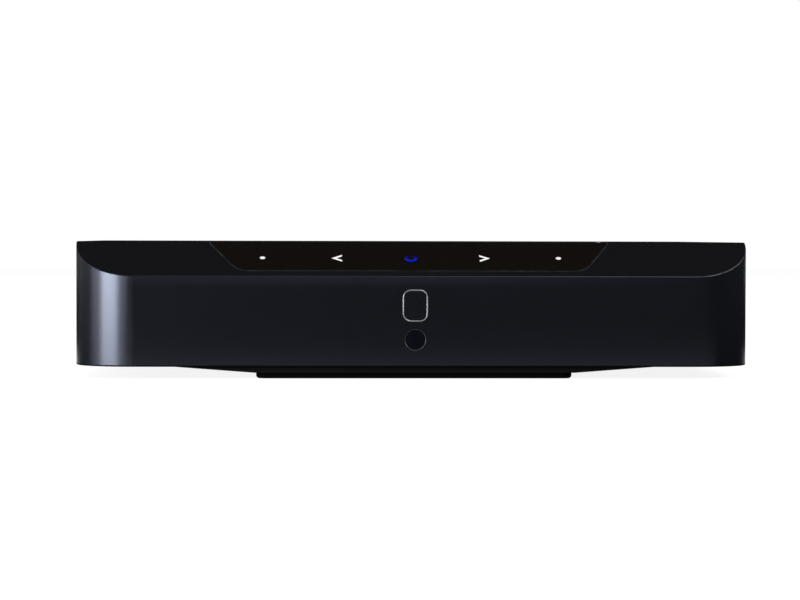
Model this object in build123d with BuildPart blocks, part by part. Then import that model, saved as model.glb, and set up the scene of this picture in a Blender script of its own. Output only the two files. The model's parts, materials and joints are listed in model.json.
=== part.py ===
from build123d import *

import os
from math import atan2, cos, sin

# Compact streaming amplifier: a low slab with a sloped front band that carries a touch panel,
# a keeled base pan on two rubber strips, and sockets and speaker terminals at the rear.
# Millimetres. +X runs along the width, +Y to the rear, +Z up. The origin is on the surface that
# the rubber strips rest on, at the middle of the overall width and depth.

# Shell
body_width = 219.0
body_depth = 178.0
body_height = 44.0
shell_bottom = 3.9
wall = 2.4
front_corner_radius = 19.2
rear_corner_radius = 8.0
slope_depth = 19.8
slope_rise = 10.9
edge_radius = 0.5
assembly_gap = 0.3
screw_clearance = 0.05

# Base pan
pan_thickness = 2.0
pan_recess = 0.3
keel_side_margin = 27.0
keel_foot_margin = 0.5
keel_bottom = 1.9
rim_thickness = 1.6
rim_height = 1.6
rim_rear_gap = 4.0
vent_length = 21.0
vent_width = 2.4
vent_pitch = 6.0
vent_count = 16
vent_margin = 1.0

# Rubber foot strips
foot_width = 102.0
foot_depth = 18.0
foot_inset = 1.4
foot_seat = 0.8
foot_corner = 3.0
foot_edge = 1.0
foot_clearance = 0.15

# Case screws and their bosses
case_boss_front = 30.2
case_boss_rear = 15.8
boss_radius = 3.5
boss_rim_gap = 0.4
boss_rib = 1.6
rib_gap = 4.0
screw_radius = 1.45
screw_tip_gap = 1.0
case_screw_length = 12.0
panel_screw_length = 4.0
screw_head_radius = 2.8
screw_head_angle = 90.0
screw_recess_arm = 2.6
screw_recess_width = 0.6
screw_recess_depth = 0.7

# Rear wall and connector panel
notch_side_margin = 11.5
notch_top_margin = 5.0
notch_corner = 2.0
panel_overlap = 2.8
panel_thickness = 2.0
panel_tab_inset = 9.8
panel_tab_width = 12.0
panel_tab_depth = 9.0
socket_clearance = 0.2
socket_inset = 0.2
socket_proud = 0.5
rear_vent_length = 9.0
rear_vent_width = 1.8
rear_vent_pitch = 12.0
rear_vent_count = 8
rear_vent_inset = 22.5
rear_vent_drop = 7.3

# Circuit boards and the posts under them
board_thickness = 1.6
board_bottom = 11.5
board_rear_gap = 1.0
board_corner = 2.0
board_gap = 2.0
main_side_gap = 11.1
main_front_gap = 24.2
power_side_gap = 10.1
power_width = 32.5
power_front_gap = 28.2
main_post_left = 7.5
main_post_right = 6.0
power_post_left = 5.0
power_post_right = 4.5
post_front_gap = 8.0
post_rear_gap = 56.1
post_radius = 3.0
board_screw_depth = 5.0
board_head_radius = 2.6
board_head_height = 1.8
barrier_thickness = 0.5
barrier_top_gap = 4.6
barrier_end_margin = 6.0
barrier_clearance = 0.1

# Touch panel, its lit symbols and the board under it
lens_shift = -1.0
lens_front_half = 56.1
lens_rear_half = 65.3
lens_front_inset = 2.9
lens_knee_inset = 18.8
lens_rear_inset = 31.0
lens_front_corner = 7.0
lens_knee_corner = 3.0
lens_rear_corner = 4.0
lens_thickness = 1.2
lens_bevel = 0.25
lens_recess = 0.12
lens_clearance = 0.15
lens_ledge = 1.8
gasket_thickness = 0.2
symbol_inset = 10.3
symbol_pitch = 24.0
symbol_depth = 0.6
dot_radius = 1.0
chevron_width = 3.4
chevron_height = 4.4
chevron_stroke = 1.0
ring_outer = 2.1
ring_inner = 1.05
symbol_clearance = 0.02
touch_board_thickness = 1.2
touch_board_clearance = 0.3
touch_board_ridge_gap = 2.5
light_hole_radius = 2.0
lamp_width = 3.4
lamp_length = 4.8
lamp_height = 0.9

# Front window, its receiver and the badge outline
window_radius = 3.05
window_z = 12.6
window_clearance = 0.05
window_recess = 0.15
window_flange = 1.4
window_flange_thickness = 1.0
window_chamfer = 0.25
sensor_board_width = 22.0
sensor_board_height = 17.0
sensor_board_thickness = 1.2
sensor_board_inset = 11.0
cradle_lip = 2.0
cradle_wall = 1.6
cradle_slot_depth = 3.0
cradle_clearance = 0.15
receiver_width = 6.0
receiver_height = 7.0
receiver_depth = 2.8
receiver_lens_radius = 2.2
badge_width = 8.1
badge_height = 10.3
badge_z = 23.6
badge_corner = 2.6
badge_stroke = 0.5
badge_seat = 0.5
badge_proud = 0.3

# Speaker terminals: a block, four stems, four loose clamps and four screwed caps
terminal_count = 4
terminal_pitch = 19.0
terminal_side_gap = 12.0
terminal_rise = 9.9
block_stand = 3.2
block_end_margin = 11.5
block_height = 24.0
block_corner = 3.0
block_edge = 0.6
block_step = 3.0
block_body_depth = 9.0
stem_radius = 3.5
stem_hold = 3.0
stem_cap_gap = 0.2
stem_tail_radius = 1.5
banana_radius = 2.0
banana_depth = 11.6
wire_hole_radius = 1.3
wire_hole_step = 1.8
lug_width = 4.5
lug_thickness = 0.8
clamp_radius = 5.2
clamp_thickness = 1.0
cap_radius = 6.2
cap_length = 13.0
cap_end = 2.5
cap_hole_radius = 2.6
cap_groove_count = 16
cap_groove_radius = 0.6
cap_chamfer = 0.6
moving_gap = 0.1
running_clearance = 0.1
mark_height = 2.4
mark_width = 0.6
mark_proud = 0.3
mark_rise = 9.6

# Rear sockets, each one step from the one before it
rca_step = 17.0
rca_height = 10.0
rca_body_width = 10.0
rca_body_height = 15.5
rca_body_depth = 10.0
rca_barrel_radius = 4.15
rca_collar_radius = 4.9
rca_collar_hold = 0.8
rca_barrel_length = 8.6
rca_barrel_wall = 0.7
rca_bore_radius = 1.65
rca_bore_depth = 9.0
hdmi_step = 17.5
hdmi_width = 15.0
hdmi_height = 5.6
hdmi_bevel = 1.6
hdmi_tongue_width = 10.8
hdmi_tongue_thickness = 1.0
usb_step = 17.5
usb_width = 13.2
usb_height = 5.8
usb_tongue_width = 11.2
usb_tongue_thickness = 1.9
port_wall = 0.5
port_depth = 12.0
port_back = 3.0
port_mouth_gap = 1.0
port_clearance = 0.05
lan_step = 12.5
lan_width = 16.0
lan_height = 13.4
lan_depth = 18.0
lan_wall = 0.4
lan_mouth_width = 12.0
lan_mouth_height = 7.2
lan_mouth_rise = 3.4
lan_latch_width = 6.2
lan_latch_height = 2.2
lan_mouth_depth = 13.0
jack_side_gap = 6.0
jack_width = 8.0
jack_height = 8.0
jack_depth = 13.0
jack_nose_radius = 3.0
jack_nose_stand = 1.2
jack_bore_radius = 1.8
jack_bore_depth = 12.5

# Mains inlet
inlet_width = 21.0
inlet_height = 15.0
inlet_depth = 18.5
inlet_flange = 1.5
inlet_flange_thickness = 1.5
inlet_corner = 2.0
inlet_mouth_width = 14.4
inlet_mouth_height = 8.8
inlet_mouth_depth = 12.0
inlet_pin_radius = 1.2
inlet_pin_spacing = 8.6
inlet_pin_length = 10.0
inlet_pin_hold = 4.0

# Parts on the main board
processor_side_gap = 40.5
processor_front_gap = 42.0
processor_size = 17.0
chip_height = 1.6
memory_width = 9.0
memory_length = 11.0
memory_pitch = 13.0
memory_offset = 15.5
shield_shift = 6.0
shield_width = 36.0
shield_length = 30.0
shield_height = 4.2
shield_wall = 0.4
shield_hole_radius = 1.2
shield_hole_pitch = 8.0
shield_hole_rows = 3
wireless_side_gap = 28.5
wireless_front_gap = 12.0
wireless_width = 24.0
wireless_length = 16.0
wireless_height = 2.6
amplifier_spacing = 28.0
amplifier_rear_gap = 74.1
amplifier_size = 14.0
amplifier_height = 2.0
pad_thickness = 0.4
heatsink_width = 62.0
heatsink_length = 36.0
heatsink_base = 3.0
heatsink_height = 20.0
heatsink_fin = 1.4
heatsink_fin_count = 11
inductor_rear_gap = 34.1
inductor_size = 12.0
inductor_height = 8.5
inductor_corner = 1.5
inductor_core_radius = 3.6
inductor_dimple = 0.6
film_rear_gap = 20.6
film_width = 13.0
film_length = 5.2
film_height = 11.0
film_corner = 0.6
reservoir_pitch = 21.0
reservoir_front_gap = 26.0
reservoir_radius = 8.0
reservoir_height = 25.0
can_edge = 1.0

# Parts on the power board
transformer_front_gap = 40.0
transformer_width = 28.0
core_depth = 12.0
core_height = 22.0
core_yoke = 5.0
core_outer_leg = 4.5
core_leg = 7.0
winding_radius = 8.6
bobbin_radius = 9.2
bobbin_flange = 1.2
bobbin_wall = 0.5
bobbin_clearance = 0.1
bobbin_foot_width = 8.0
bobbin_foot_length = 2.6
bulk_side_gap = 14.0
bulk_front_gap = 70.0
bulk_radius = 11.0
bulk_height = 26.0
choke_side_gap = 10.0
choke_rear_gap = 36.1
choke_radius = 7.5
choke_hole = 3.2
choke_height = 9.0
choke_edge = 1.5
fuse_side_gap = 6.5
fuse_rear_gap = 36.1
fuse_radius = 2.6
fuse_glass_radius = 2.3
fuse_length = 20.0
fuse_cap_length = 5.0
fuse_axis_height = 3.2
supply_sink_front_gap = 16.0
supply_sink_width = 26.0
supply_sink_thickness = 2.4
supply_sink_height = 22.0
transistor_pitch = 13.0
transistor_width = 10.0
transistor_height = 15.0
transistor_thickness = 4.4

# Ribbons and cable between the boards
ribbon_thickness = 0.4
ribbon_bend = 1.5
ribbon_socket_gap = 3.0
ribbon_socket_height = 2.4
ribbon_socket_depth = 4.0
ribbon_socket_margin = 1.5
ribbon_drop = 6.0
touch_ribbon_width = 12.0
touch_ribbon_x = -13.0
touch_ribbon_start = 9.0
touch_ribbon_end = 14.0
sensor_ribbon_width = 7.0
sensor_ribbon_lift = 7.1
sensor_ribbon_drop = 5.5
cable_front_gap = 70.0
cable_width = 12.0
cable_thickness = 1.6
cable_rise = 8.0
cable_bend = 3.0
cable_notch_margin = 1.0
header_height = 6.0
header_depth = 5.0
header_margin = 0.25

# Sizes and places that follow from those above
panel_outer_from_front = body_depth - wall - assembly_gap
terminal_stand = block_stand + 2 * moving_gap + clamp_thickness + cap_length
front_y = (badge_proud - panel_outer_from_front - terminal_stand) / 2
rear_y = front_y + body_depth
middle_y = (front_y + rear_y) / 2
crease_z = body_height - slope_rise
slope_angle = atan2(slope_rise, slope_depth)
deck_under = body_height - wall
inner_half = body_width / 2 - wall
pan_bottom = shell_bottom + pan_recess
pan_top = pan_bottom + pan_thickness
pan_inset = wall + assembly_gap
pan_front_y = front_y + pan_inset
pan_half = body_width / 2 - pan_inset
rim_top = pan_top + rim_height
keel_inner_half = foot_width / 2 + keel_foot_margin
keel_outer_half = body_width / 2 - keel_side_margin
vent_x = (keel_inner_half + keel_outer_half) / 2
panel_outer_y = rear_y - pan_inset
panel_inner_y = panel_outer_y - panel_thickness
panel_top = deck_under - assembly_gap
notch_half_width = body_width / 2 - notch_side_margin
panel_half_width = notch_half_width + panel_overlap
panel_tab_x = panel_half_width - panel_tab_inset
socket_inner_y = panel_inner_y - socket_inset
socket_outer_y = panel_outer_y + socket_proud
board_top = board_bottom + board_thickness
board_rear_y = panel_inner_y - board_rear_gap
main_front_y = front_y + main_front_gap
power_front_y = front_y + power_front_gap
power_left = power_side_gap - inner_half
power_right = power_left + power_width
main_left = power_right + board_gap
main_right = inner_half - main_side_gap
lens_under = lens_recess + lens_thickness
lens_seat = lens_under + gasket_thickness
board_under = lens_under + touch_board_thickness
symbol_z = crease_z + symbol_inset * slope_rise / slope_depth
slope_plane = Plane(
    origin=(lens_shift, front_y + symbol_inset, symbol_z),
    x_dir=(1, 0, 0),
    z_dir=(0, -sin(slope_angle), cos(slope_angle)),
)
symbol_x = [step * symbol_pitch for step in (-2, -1, 0, 1, 2)]
symbol_places = [(x, 0) for x in symbol_x]
case_boss_x = pan_half - rim_thickness - boss_rim_gap - boss_radius
boss_front_y = front_y + case_boss_front
boss_rear_y = rear_y - case_boss_rear
case_boss_y = (boss_front_y, (boss_front_y + boss_rear_y) / 2, boss_rear_y)
case_screw_places = [(side * case_boss_x, y) for side in (-1, 1) for y in case_boss_y]
panel_screw_y = panel_inner_y - panel_tab_depth / 2
panel_screw_places = [(side * panel_tab_x, panel_screw_y) for side in (-1, 1)]
main_post_first = main_left + main_post_left
main_post_last = main_right - main_post_right
main_post_x = (main_post_first, (main_post_first + main_post_last) / 2, main_post_last)
power_post_x = (power_left + power_post_left, power_right - power_post_right)
post_y = (main_front_y + post_front_gap, board_rear_y - post_rear_gap)
post_places = [(x, y) for x in (*main_post_x, *power_post_x) for y in post_y]
foot_middles = (pan_front_y + foot_inset + foot_depth / 2, panel_outer_y - foot_inset - foot_depth / 2)
sensor_board_y = front_y + sensor_board_inset
sensor_board_bottom = keel_bottom + pan_thickness + cradle_lip
terminal_x = [main_right - terminal_side_gap - k * terminal_pitch for k in range(terminal_count)]
terminal_z = board_top + terminal_rise
block_left = min(terminal_x) - block_end_margin
block_right = max(terminal_x) + block_end_margin
block_middle_x = (block_left + block_right) / 2
block_body_height = 2 * (terminal_z - board_top)
block_face_y = panel_outer_y + block_stand
block_back_y = panel_inner_y - block_body_depth
stem_back_y = block_back_y + stem_hold
clamp_back_y = block_face_y + moving_gap
cap_back_y = clamp_back_y + clamp_thickness + moving_gap
stem_tip_y = cap_back_y + cap_length - cap_end - stem_cap_gap
lug_back_y = block_back_y - lug_thickness
jack_x = main_left + jack_side_gap
lan_x = jack_x + lan_step
usb_x = lan_x + usb_step
hdmi_x = usb_x + hdmi_step
rca_x = hdmi_x + rca_step
rca_z = board_top + rca_height
supply_x = (power_left + power_right) / 2
inlet_x = supply_x
inlet_z = board_top + inlet_height / 2
rear_vent_x = main_left + rear_vent_inset
rear_vent_z = panel_top - rear_vent_drop
processor_x = main_left + processor_side_gap
processor_y = main_front_y + processor_front_gap
shield_x = processor_x + shield_shift
wireless_x = main_left + wireless_side_gap
wireless_y = main_front_y + wireless_front_gap
heatsink_x = block_middle_x
amplifier_x = (heatsink_x - amplifier_spacing / 2, heatsink_x + amplifier_spacing / 2)
amplifier_y = board_rear_y - amplifier_rear_gap
inductor_y = board_rear_y - inductor_rear_gap
film_y = board_rear_y - film_rear_gap
reservoir_x = [heatsink_x + step * reservoir_pitch for step in (-1, 0, 1)]
reservoir_y = main_front_y + reservoir_front_gap
supply_sink_y = power_front_y + supply_sink_front_gap
transformer_y = power_front_y + transformer_front_gap
bulk_x = power_left + bulk_side_gap
bulk_y = power_front_y + bulk_front_gap
choke_x = power_left + choke_side_gap
choke_y = board_rear_y - choke_rear_gap
fuse_x = power_right - fuse_side_gap
fuse_y = board_rear_y - fuse_rear_gap
barrier_top = deck_under - barrier_top_gap
barrier_x = (main_left + power_right) / 2
power_header_x = power_right - header_margin - header_depth / 2
main_header_x = main_left + header_margin + header_depth / 2
header_top = board_top + header_height
cable_y = main_front_y + cable_front_gap
ribbon_socket_y = main_front_y + ribbon_socket_gap
socket_top = board_top + ribbon_socket_height
sensor_ribbon_top = socket_top + sensor_ribbon_drop
sensor_ribbon_bottom = sensor_board_bottom + sensor_ribbon_lift
stand_up = (Align.CENTER, Align.CENTER, Align.MIN)
pieces = []


def keep(builder, label):
    """Names a finished piece and puts it on the list of pieces to be written."""
    builder.part.label = label
    pieces.append(builder.part)


def block(x, y, z, size_x, size_y, size_z, mode=Mode.ADD):
    """Box that stands on the middle of its base."""
    with Locations((x, y, z)):
        Box(size_x, size_y, size_z, align=stand_up, mode=mode)


def drum(x, y, z, radius, height, mode=Mode.ADD):
    """Cylinder that stands on the middle of its base."""
    with Locations((x, y, z)):
        Cylinder(radius, height, align=stand_up, mode=mode)


def rod(x, z, y_from, radius, length, mode=Mode.ADD):
    """Cylinder along Y, from one depth towards the rear."""
    with Locations(Location((x, y_from, z), (-90, 0, 0))):
        Cylinder(radius, length, align=stand_up, mode=mode)


def at_depth(y):
    """Upright plane at one depth, with its sketch's axes along X and Z."""
    return Plane.XZ.offset(-y)


def pan_rise(x):
    """Height of the pan's underside over the keel's lowest face, at a distance x from the middle."""
    share = (abs(x) - keel_inner_half) / (keel_outer_half - keel_inner_half)
    return min(1.0, max(0.0, share)) * (pan_bottom - keel_bottom)


def pan_line(height, half):
    """Points of the pan's folded line at a height over its underside, out to a half width."""
    right = [(keel_inner_half, keel_bottom), (keel_outer_half, pan_bottom), (half, pan_bottom)]
    left = [(-x, z) for x, z in reversed(right)]
    return [(x, z + height) for x, z in left + right]


def slope_height(y, depth):
    """Height of a point on the slope at y, at a depth square below its face."""
    return crease_z + (y - front_y) * slope_rise / slope_depth - depth / cos(slope_angle)


def body_outline(inset, height):
    """Plan outline of the body, moved inwards by an inset, at a height."""
    with BuildSketch(Plane.XY.offset(height)) as plan:
        with Locations((0, middle_y)):
            Rectangle(body_width - 2 * inset, body_depth - 2 * inset)
        fillet(plan.vertices().group_by(Axis.Y)[0], front_corner_radius - inset)
        fillet(plan.vertices().group_by(Axis.Y)[-1], rear_corner_radius - inset)
    return plan.sketch


def side_profile(depth):
    """Side view of all that lies more than a depth below the slope and the deck."""
    front = front_y - wall
    rear = rear_y + wall
    low = slope_height(front, depth)
    top = body_height - depth
    knee = front + (top - low) * slope_depth / slope_rise
    with BuildSketch(Plane.YZ) as side:
        with BuildLine():
            Polyline((front, 0), (front, low), (knee, top), (rear, top), (rear, 0), close=True)
        make_face()
    return side.sketch


def lens_plan(margin):
    """Plan outline of the touch panel, grown by a margin."""
    lens_front_y = front_y + lens_front_inset
    lens_knee_y = front_y + lens_knee_inset
    lens_rear_y = front_y + lens_rear_inset
    right = [(lens_front_half, lens_front_y), (lens_rear_half, lens_knee_y), (lens_rear_half, lens_rear_y)]
    left = [(-x, y) for x, y in reversed(right)]
    with BuildSketch(Plane.XY) as plan:
        with BuildLine():
            Polyline(*[(x + lens_shift, y) for x, y in left + right], close=True)
        make_face()
        fillet(plan.vertices().group_by(Axis.Y)[1], lens_knee_corner)
        fillet(plan.vertices().group_by(Axis.Y)[0], lens_front_corner)
        fillet(plan.vertices().group_by(Axis.Y)[-1], lens_rear_corner)
        if margin:
            offset(amount=margin)
    return plan.sketch


def ring_sketch(level, margin):
    """Ring of the touch panel, grown by a margin, at a level over the slope."""
    with BuildSketch(slope_plane.offset(level)) as ring:
        Circle(ring_outer + margin)
        Circle(ring_inner - margin, mode=Mode.SUBTRACT)
    return ring.sketch


def mark_sketch(level, margin):
    """Dots and chevrons of the touch panel, grown by a margin, at a level over the slope."""
    half = chevron_height / 2
    arm_end = half - chevron_stroke
    inner_tip = chevron_stroke * chevron_width / half
    with BuildSketch(slope_plane.offset(level)) as marks:
        with Locations(symbol_places[0], symbol_places[-1]):
            Circle(dot_radius + margin)
        for side, x in ((-1, symbol_x[1]), (1, symbol_x[-2])):
            tip = x + side * (chevron_width / 2 + margin)
            back = x - side * (chevron_width / 2 + margin)
            notch = x + side * (chevron_width / 2 - inner_tip - margin)
            with BuildLine():
                Polyline(
                    (tip, 0),
                    (back, half + margin),
                    (back, arm_end - margin),
                    (notch, 0),
                    (back, margin - arm_end),
                    (back, -half - margin),
                    close=True,
                )
            make_face()
    return marks.sketch


def badge_outline(y):
    """Rounded outline of the badge at one depth."""
    with BuildSketch(at_depth(y)) as outline:
        with Locations((0, badge_z)):
            RectangleRounded(badge_width, badge_height, badge_corner)
            RectangleRounded(
                badge_width - 2 * badge_stroke,
                badge_height - 2 * badge_stroke,
                badge_corner - badge_stroke,
                mode=Mode.SUBTRACT,
            )
    return outline.sketch


def port_outline(x, width, height, bevel, margin, y):
    """Outline of a metal-cased port that stands on the main board, with bevelled lower corners."""
    with BuildSketch(at_depth(y)) as outline:
        with Locations((x, board_top + height / 2)):
            Rectangle(width, height)
        if bevel:
            chamfer(outline.vertices().group_by(Axis.Z)[0], bevel)
        if margin:
            offset(amount=margin, kind=Kind.INTERSECTION)
    return outline.sketch


def countersink_from_below(places):
    """Countersunk screw holes that open on the pan's underside."""
    with Locations([Location((x, y, pan_bottom), (180, 0, 0)) for x, y in places]):
        CounterSinkHole(
            screw_radius + screw_clearance,
            screw_head_radius + screw_clearance,
            depth=pan_thickness + screw_tip_gap,
            counter_sink_angle=screw_head_angle,
        )


def screws_from_below(places, length):
    """Countersunk screws with cross recesses, driven up through the pan."""
    for x, y in places:
        drum(x, y, pan_bottom, screw_radius, length)
        with Locations((x, y, pan_bottom)):
            Cone(screw_head_radius, screw_radius, screw_head_radius - screw_radius, align=stand_up)
        block(x, y, pan_bottom, screw_recess_arm, screw_recess_width, screw_recess_depth, Mode.SUBTRACT)
        block(x, y, pan_bottom, screw_recess_width, screw_recess_arm, screw_recess_depth, Mode.SUBTRACT)


def folded_strip(plane, points, thickness, bend):
    """Edge view of a strip that runs through the points, with rounded bends."""
    with BuildSketch(plane) as strip:
        with BuildLine() as path:
            FilletPolyline(*points, radius=bend)
        trace(path.line, thickness)
    return strip.sketch


def board(left, right, front, posts):
    """Circuit board with holes over its posts, in the current piece."""
    with BuildSketch(Plane.XY.offset(board_bottom)) as outline:
        with Locations(((left + right) / 2, (front + board_rear_y) / 2)):
            RectangleRounded(right - left, board_rear_y - front, board_corner)
        with Locations([(x, y) for x in posts for y in post_y]):
            Circle(screw_radius + screw_clearance, mode=Mode.SUBTRACT)
    extrude(outline.sketch, amount=board_thickness)


# Hollow inside the shell and pocket of the touch panel, solids that are only cut away
with BuildPart() as hollow:
    extrude(body_outline(wall, shell_bottom - wall), amount=body_height)
    extrude(side_profile(wall), amount=body_width, both=True, mode=Mode.INTERSECT)

with BuildPart() as lens_pocket:
    extrude(lens_plan(lens_clearance), amount=2 * body_height)
    extrude(side_profile(lens_seat), amount=body_width, both=True, mode=Mode.SUBTRACT)

# Top shell: deck, slope, front, sides and the frame of the rear notch in one moulding
with BuildPart() as top_shell:
    extrude(body_outline(0, shell_bottom), amount=body_height - shell_bottom)
    extrude(side_profile(0), amount=body_width, both=True, mode=Mode.INTERSECT)
    upper_edges = [e for e in top_shell.edges() if e.bounding_box().min.Z > crease_z - edge_radius]
    fillet(upper_edges, edge_radius)
    fillet(top_shell.edges().group_by(Axis.Z)[0], edge_radius)
    add(hollow.part, mode=Mode.SUBTRACT)
    # rear notch, open downwards so that the shell drops over the sockets
    notch_top = body_height - notch_top_margin
    with BuildSketch(at_depth(rear_y + wall)) as notch:
        with Locations((0, notch_top / 2)):
            Rectangle(2 * notch_half_width, notch_top)
        fillet(notch.vertices().group_by(Axis.Z)[-1], notch_corner)
    extrude(amount=3 * wall, mode=Mode.SUBTRACT)
    # screw bosses, each with a rib to the side wall
    for x, y in case_screw_places:
        drum(x, y, pan_top, boss_radius, deck_under - pan_top + wall / 2)
        rib_run = inner_half - case_boss_x + wall / 2
        rib_low = rim_top + rib_gap
        rib_x = x + rib_run / 2 if x > 0 else x - rib_run / 2
        block(rib_x, y, rib_low, rib_run, boss_rib, deck_under - rib_low + wall / 2)
    for x, y in case_screw_places:
        hole_depth = case_screw_length - pan_thickness + screw_tip_gap
        drum(x, y, pan_top, screw_radius + screw_clearance, hole_depth, Mode.SUBTRACT)
    # seat of the touch panel and the opening under it
    add(lens_pocket.part, mode=Mode.SUBTRACT)
    extrude(lens_plan(-lens_ledge), amount=body_height, mode=Mode.SUBTRACT)
    # hole of the receiver window, with a bright bevelled rim
    rod(0, window_z, front_y - wall, window_radius + window_clearance, 3 * wall, Mode.SUBTRACT)
    rim_edges = top_shell.edges().filter_by(GeomType.CIRCLE).filter_by(
        lambda e: abs(e.radius - window_radius - window_clearance) < screw_clearance
    )
    chamfer(rim_edges.sort_by(Axis.Y)[0], window_chamfer)
    # groove of the badge outline
    extrude(badge_outline(front_y), amount=-badge_seat, mode=Mode.SUBTRACT)
keep(top_shell, "top_shell")

# Upright rim of the base pan along its front and sides
with BuildPart() as pan_rim:
    with BuildSketch(at_depth(pan_front_y)):
        with BuildLine():
            Polyline(
                *pan_line(pan_thickness / 2, pan_half),
                (pan_half, rim_top),
                (-pan_half, rim_top),
                close=True,
            )
        make_face()
    extrude(amount=-body_depth)
    with BuildSketch():
        add(body_outline(pan_inset, 0))
        add(body_outline(pan_inset + rim_thickness, 0), mode=Mode.SUBTRACT)
        with Locations((0, panel_inner_y - rim_rear_gap)):
            Rectangle(body_width, body_depth, align=(Align.CENTER, Align.MIN), mode=Mode.SUBTRACT)
    extrude(amount=body_height, mode=Mode.INTERSECT)

# Base pan: a folded floor with a shallow keel, the rim, board posts and the receiver's cradle
with BuildPart() as base_pan:
    with BuildSketch(at_depth(pan_front_y)):
        with BuildLine():
            Polyline(*pan_line(0, pan_half), *reversed(pan_line(pan_thickness, pan_half)), close=True)
        make_face()
    extrude(amount=-(panel_outer_y - pan_front_y))
    extrude(body_outline(pan_inset, 0), amount=body_height, mode=Mode.INTERSECT)
    add(pan_rim.part)
    for x, y in post_places:
        post_low = keel_bottom + pan_rise(x) + pan_thickness / 2
        drum(x, y, post_low, post_radius, board_bottom - post_low)
    for x, y in post_places:
        hole_low = board_bottom - board_screw_depth
        drum(x, y, hole_low, screw_radius + screw_clearance, board_screw_depth, Mode.SUBTRACT)
    cradle_low = keel_bottom + pan_thickness / 2
    cradle_high = sensor_board_bottom + cradle_slot_depth
    slot_width = sensor_board_width + 2 * cradle_clearance
    slot_depth = sensor_board_thickness + 2 * cradle_clearance
    block(
        0,
        sensor_board_y,
        cradle_low,
        slot_width + 2 * cradle_wall,
        slot_depth + 2 * cradle_wall,
        cradle_high - cradle_low,
    )
    block(0, sensor_board_y, sensor_board_bottom, slot_width, slot_depth, cradle_slot_depth, Mode.SUBTRACT)
    countersink_from_below(case_screw_places + panel_screw_places)
    # cooling slots through the sloping sides of the keel, left out beside a post
    vent_rows = [
        (side * vent_x, middle_y + (k - (vent_count - 1) / 2) * vent_pitch)
        for side in (-1, 1)
        for k in range(vent_count)
    ]
    reach_x = vent_length / 2 + post_radius + vent_margin
    reach_y = vent_width / 2 + post_radius + vent_margin
    clear_rows = [
        (x, y)
        for x, y in vent_rows
        if all(abs(x - px) > reach_x or abs(y - py) > reach_y for px, py in post_places)
    ]
    with BuildSketch():
        with Locations(clear_rows):
            SlotOverall(vent_length, vent_width)
    extrude(amount=pan_top + pan_thickness, mode=Mode.SUBTRACT)
    with BuildSketch(Plane.XY.offset(keel_bottom)):
        with Locations([(0, y) for y in foot_middles]):
            RectangleRounded(foot_width + 2 * foot_clearance, foot_depth + 2 * foot_clearance, foot_corner)
    extrude(amount=foot_seat, mode=Mode.SUBTRACT)
keep(base_pan, "base_pan")

# Two rubber strips, glued in their seats under the keel
with BuildPart() as foot_strips:
    with BuildSketch():
        with Locations([(0, y) for y in foot_middles]):
            RectangleRounded(foot_width, foot_depth, foot_corner)
    extrude(amount=keel_bottom + foot_seat)
    fillet(foot_strips.edges().group_by(Axis.Z)[0], foot_edge)
keep(foot_strips, "foot_strips")

# Screws through the pan: six long ones into the shell, two short ones into the panel's tabs
with BuildPart() as pan_screws:
    screws_from_below(case_screw_places, case_screw_length)
    screws_from_below(panel_screw_places, panel_screw_length)
keep(pan_screws, "pan_screws")

# Rear panel: a plate inside the shell's rear wall, on two tabs
ports = [
    (hdmi_x, hdmi_width, hdmi_height, hdmi_bevel),
    (usb_x, usb_width, usb_height, 0),
    (lan_x, lan_width, lan_height, 0),
]
with BuildPart() as rear_panel:
    with BuildSketch(at_depth(panel_inner_y)):
        with BuildLine():
            Polyline(
                *pan_line(pan_thickness, panel_half_width),
                (panel_half_width, panel_top),
                (-panel_half_width, panel_top),
                close=True,
            )
        make_face()
        with Locations((block_middle_x, terminal_z)):
            Rectangle(
                block_right - block_left - 2 * block_step + 2 * socket_clearance,
                block_body_height + 2 * socket_clearance,
                mode=Mode.SUBTRACT,
            )
        with Locations((rca_x, rca_z)):
            Circle(rca_collar_radius + socket_clearance, mode=Mode.SUBTRACT)
        with Locations((jack_x, board_top + jack_height / 2)):
            Circle(jack_nose_radius + socket_clearance, mode=Mode.SUBTRACT)
        with Locations((inlet_x, inlet_z)):
            Rectangle(
                inlet_width + 2 * socket_clearance,
                inlet_height + 2 * socket_clearance,
                mode=Mode.SUBTRACT,
            )
        for k in range(rear_vent_count):
            with Locations((rear_vent_x + (k - (rear_vent_count - 1) / 2) * rear_vent_pitch, rear_vent_z)):
                SlotOverall(rear_vent_length, rear_vent_width, mode=Mode.SUBTRACT)
        for x, width, height, bevel in ports:
            port_hole = port_outline(x, width, height, bevel, socket_clearance, panel_inner_y)
            add(port_hole, mode=Mode.SUBTRACT)
    extrude(amount=-panel_thickness)
    for x, y in panel_screw_places:
        block(x, y, pan_top, panel_tab_width, panel_tab_depth, panel_thickness)
        drum(x, y, pan_top, screw_radius + screw_clearance, panel_thickness, Mode.SUBTRACT)
keep(rear_panel, "rear_panel")

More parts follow.
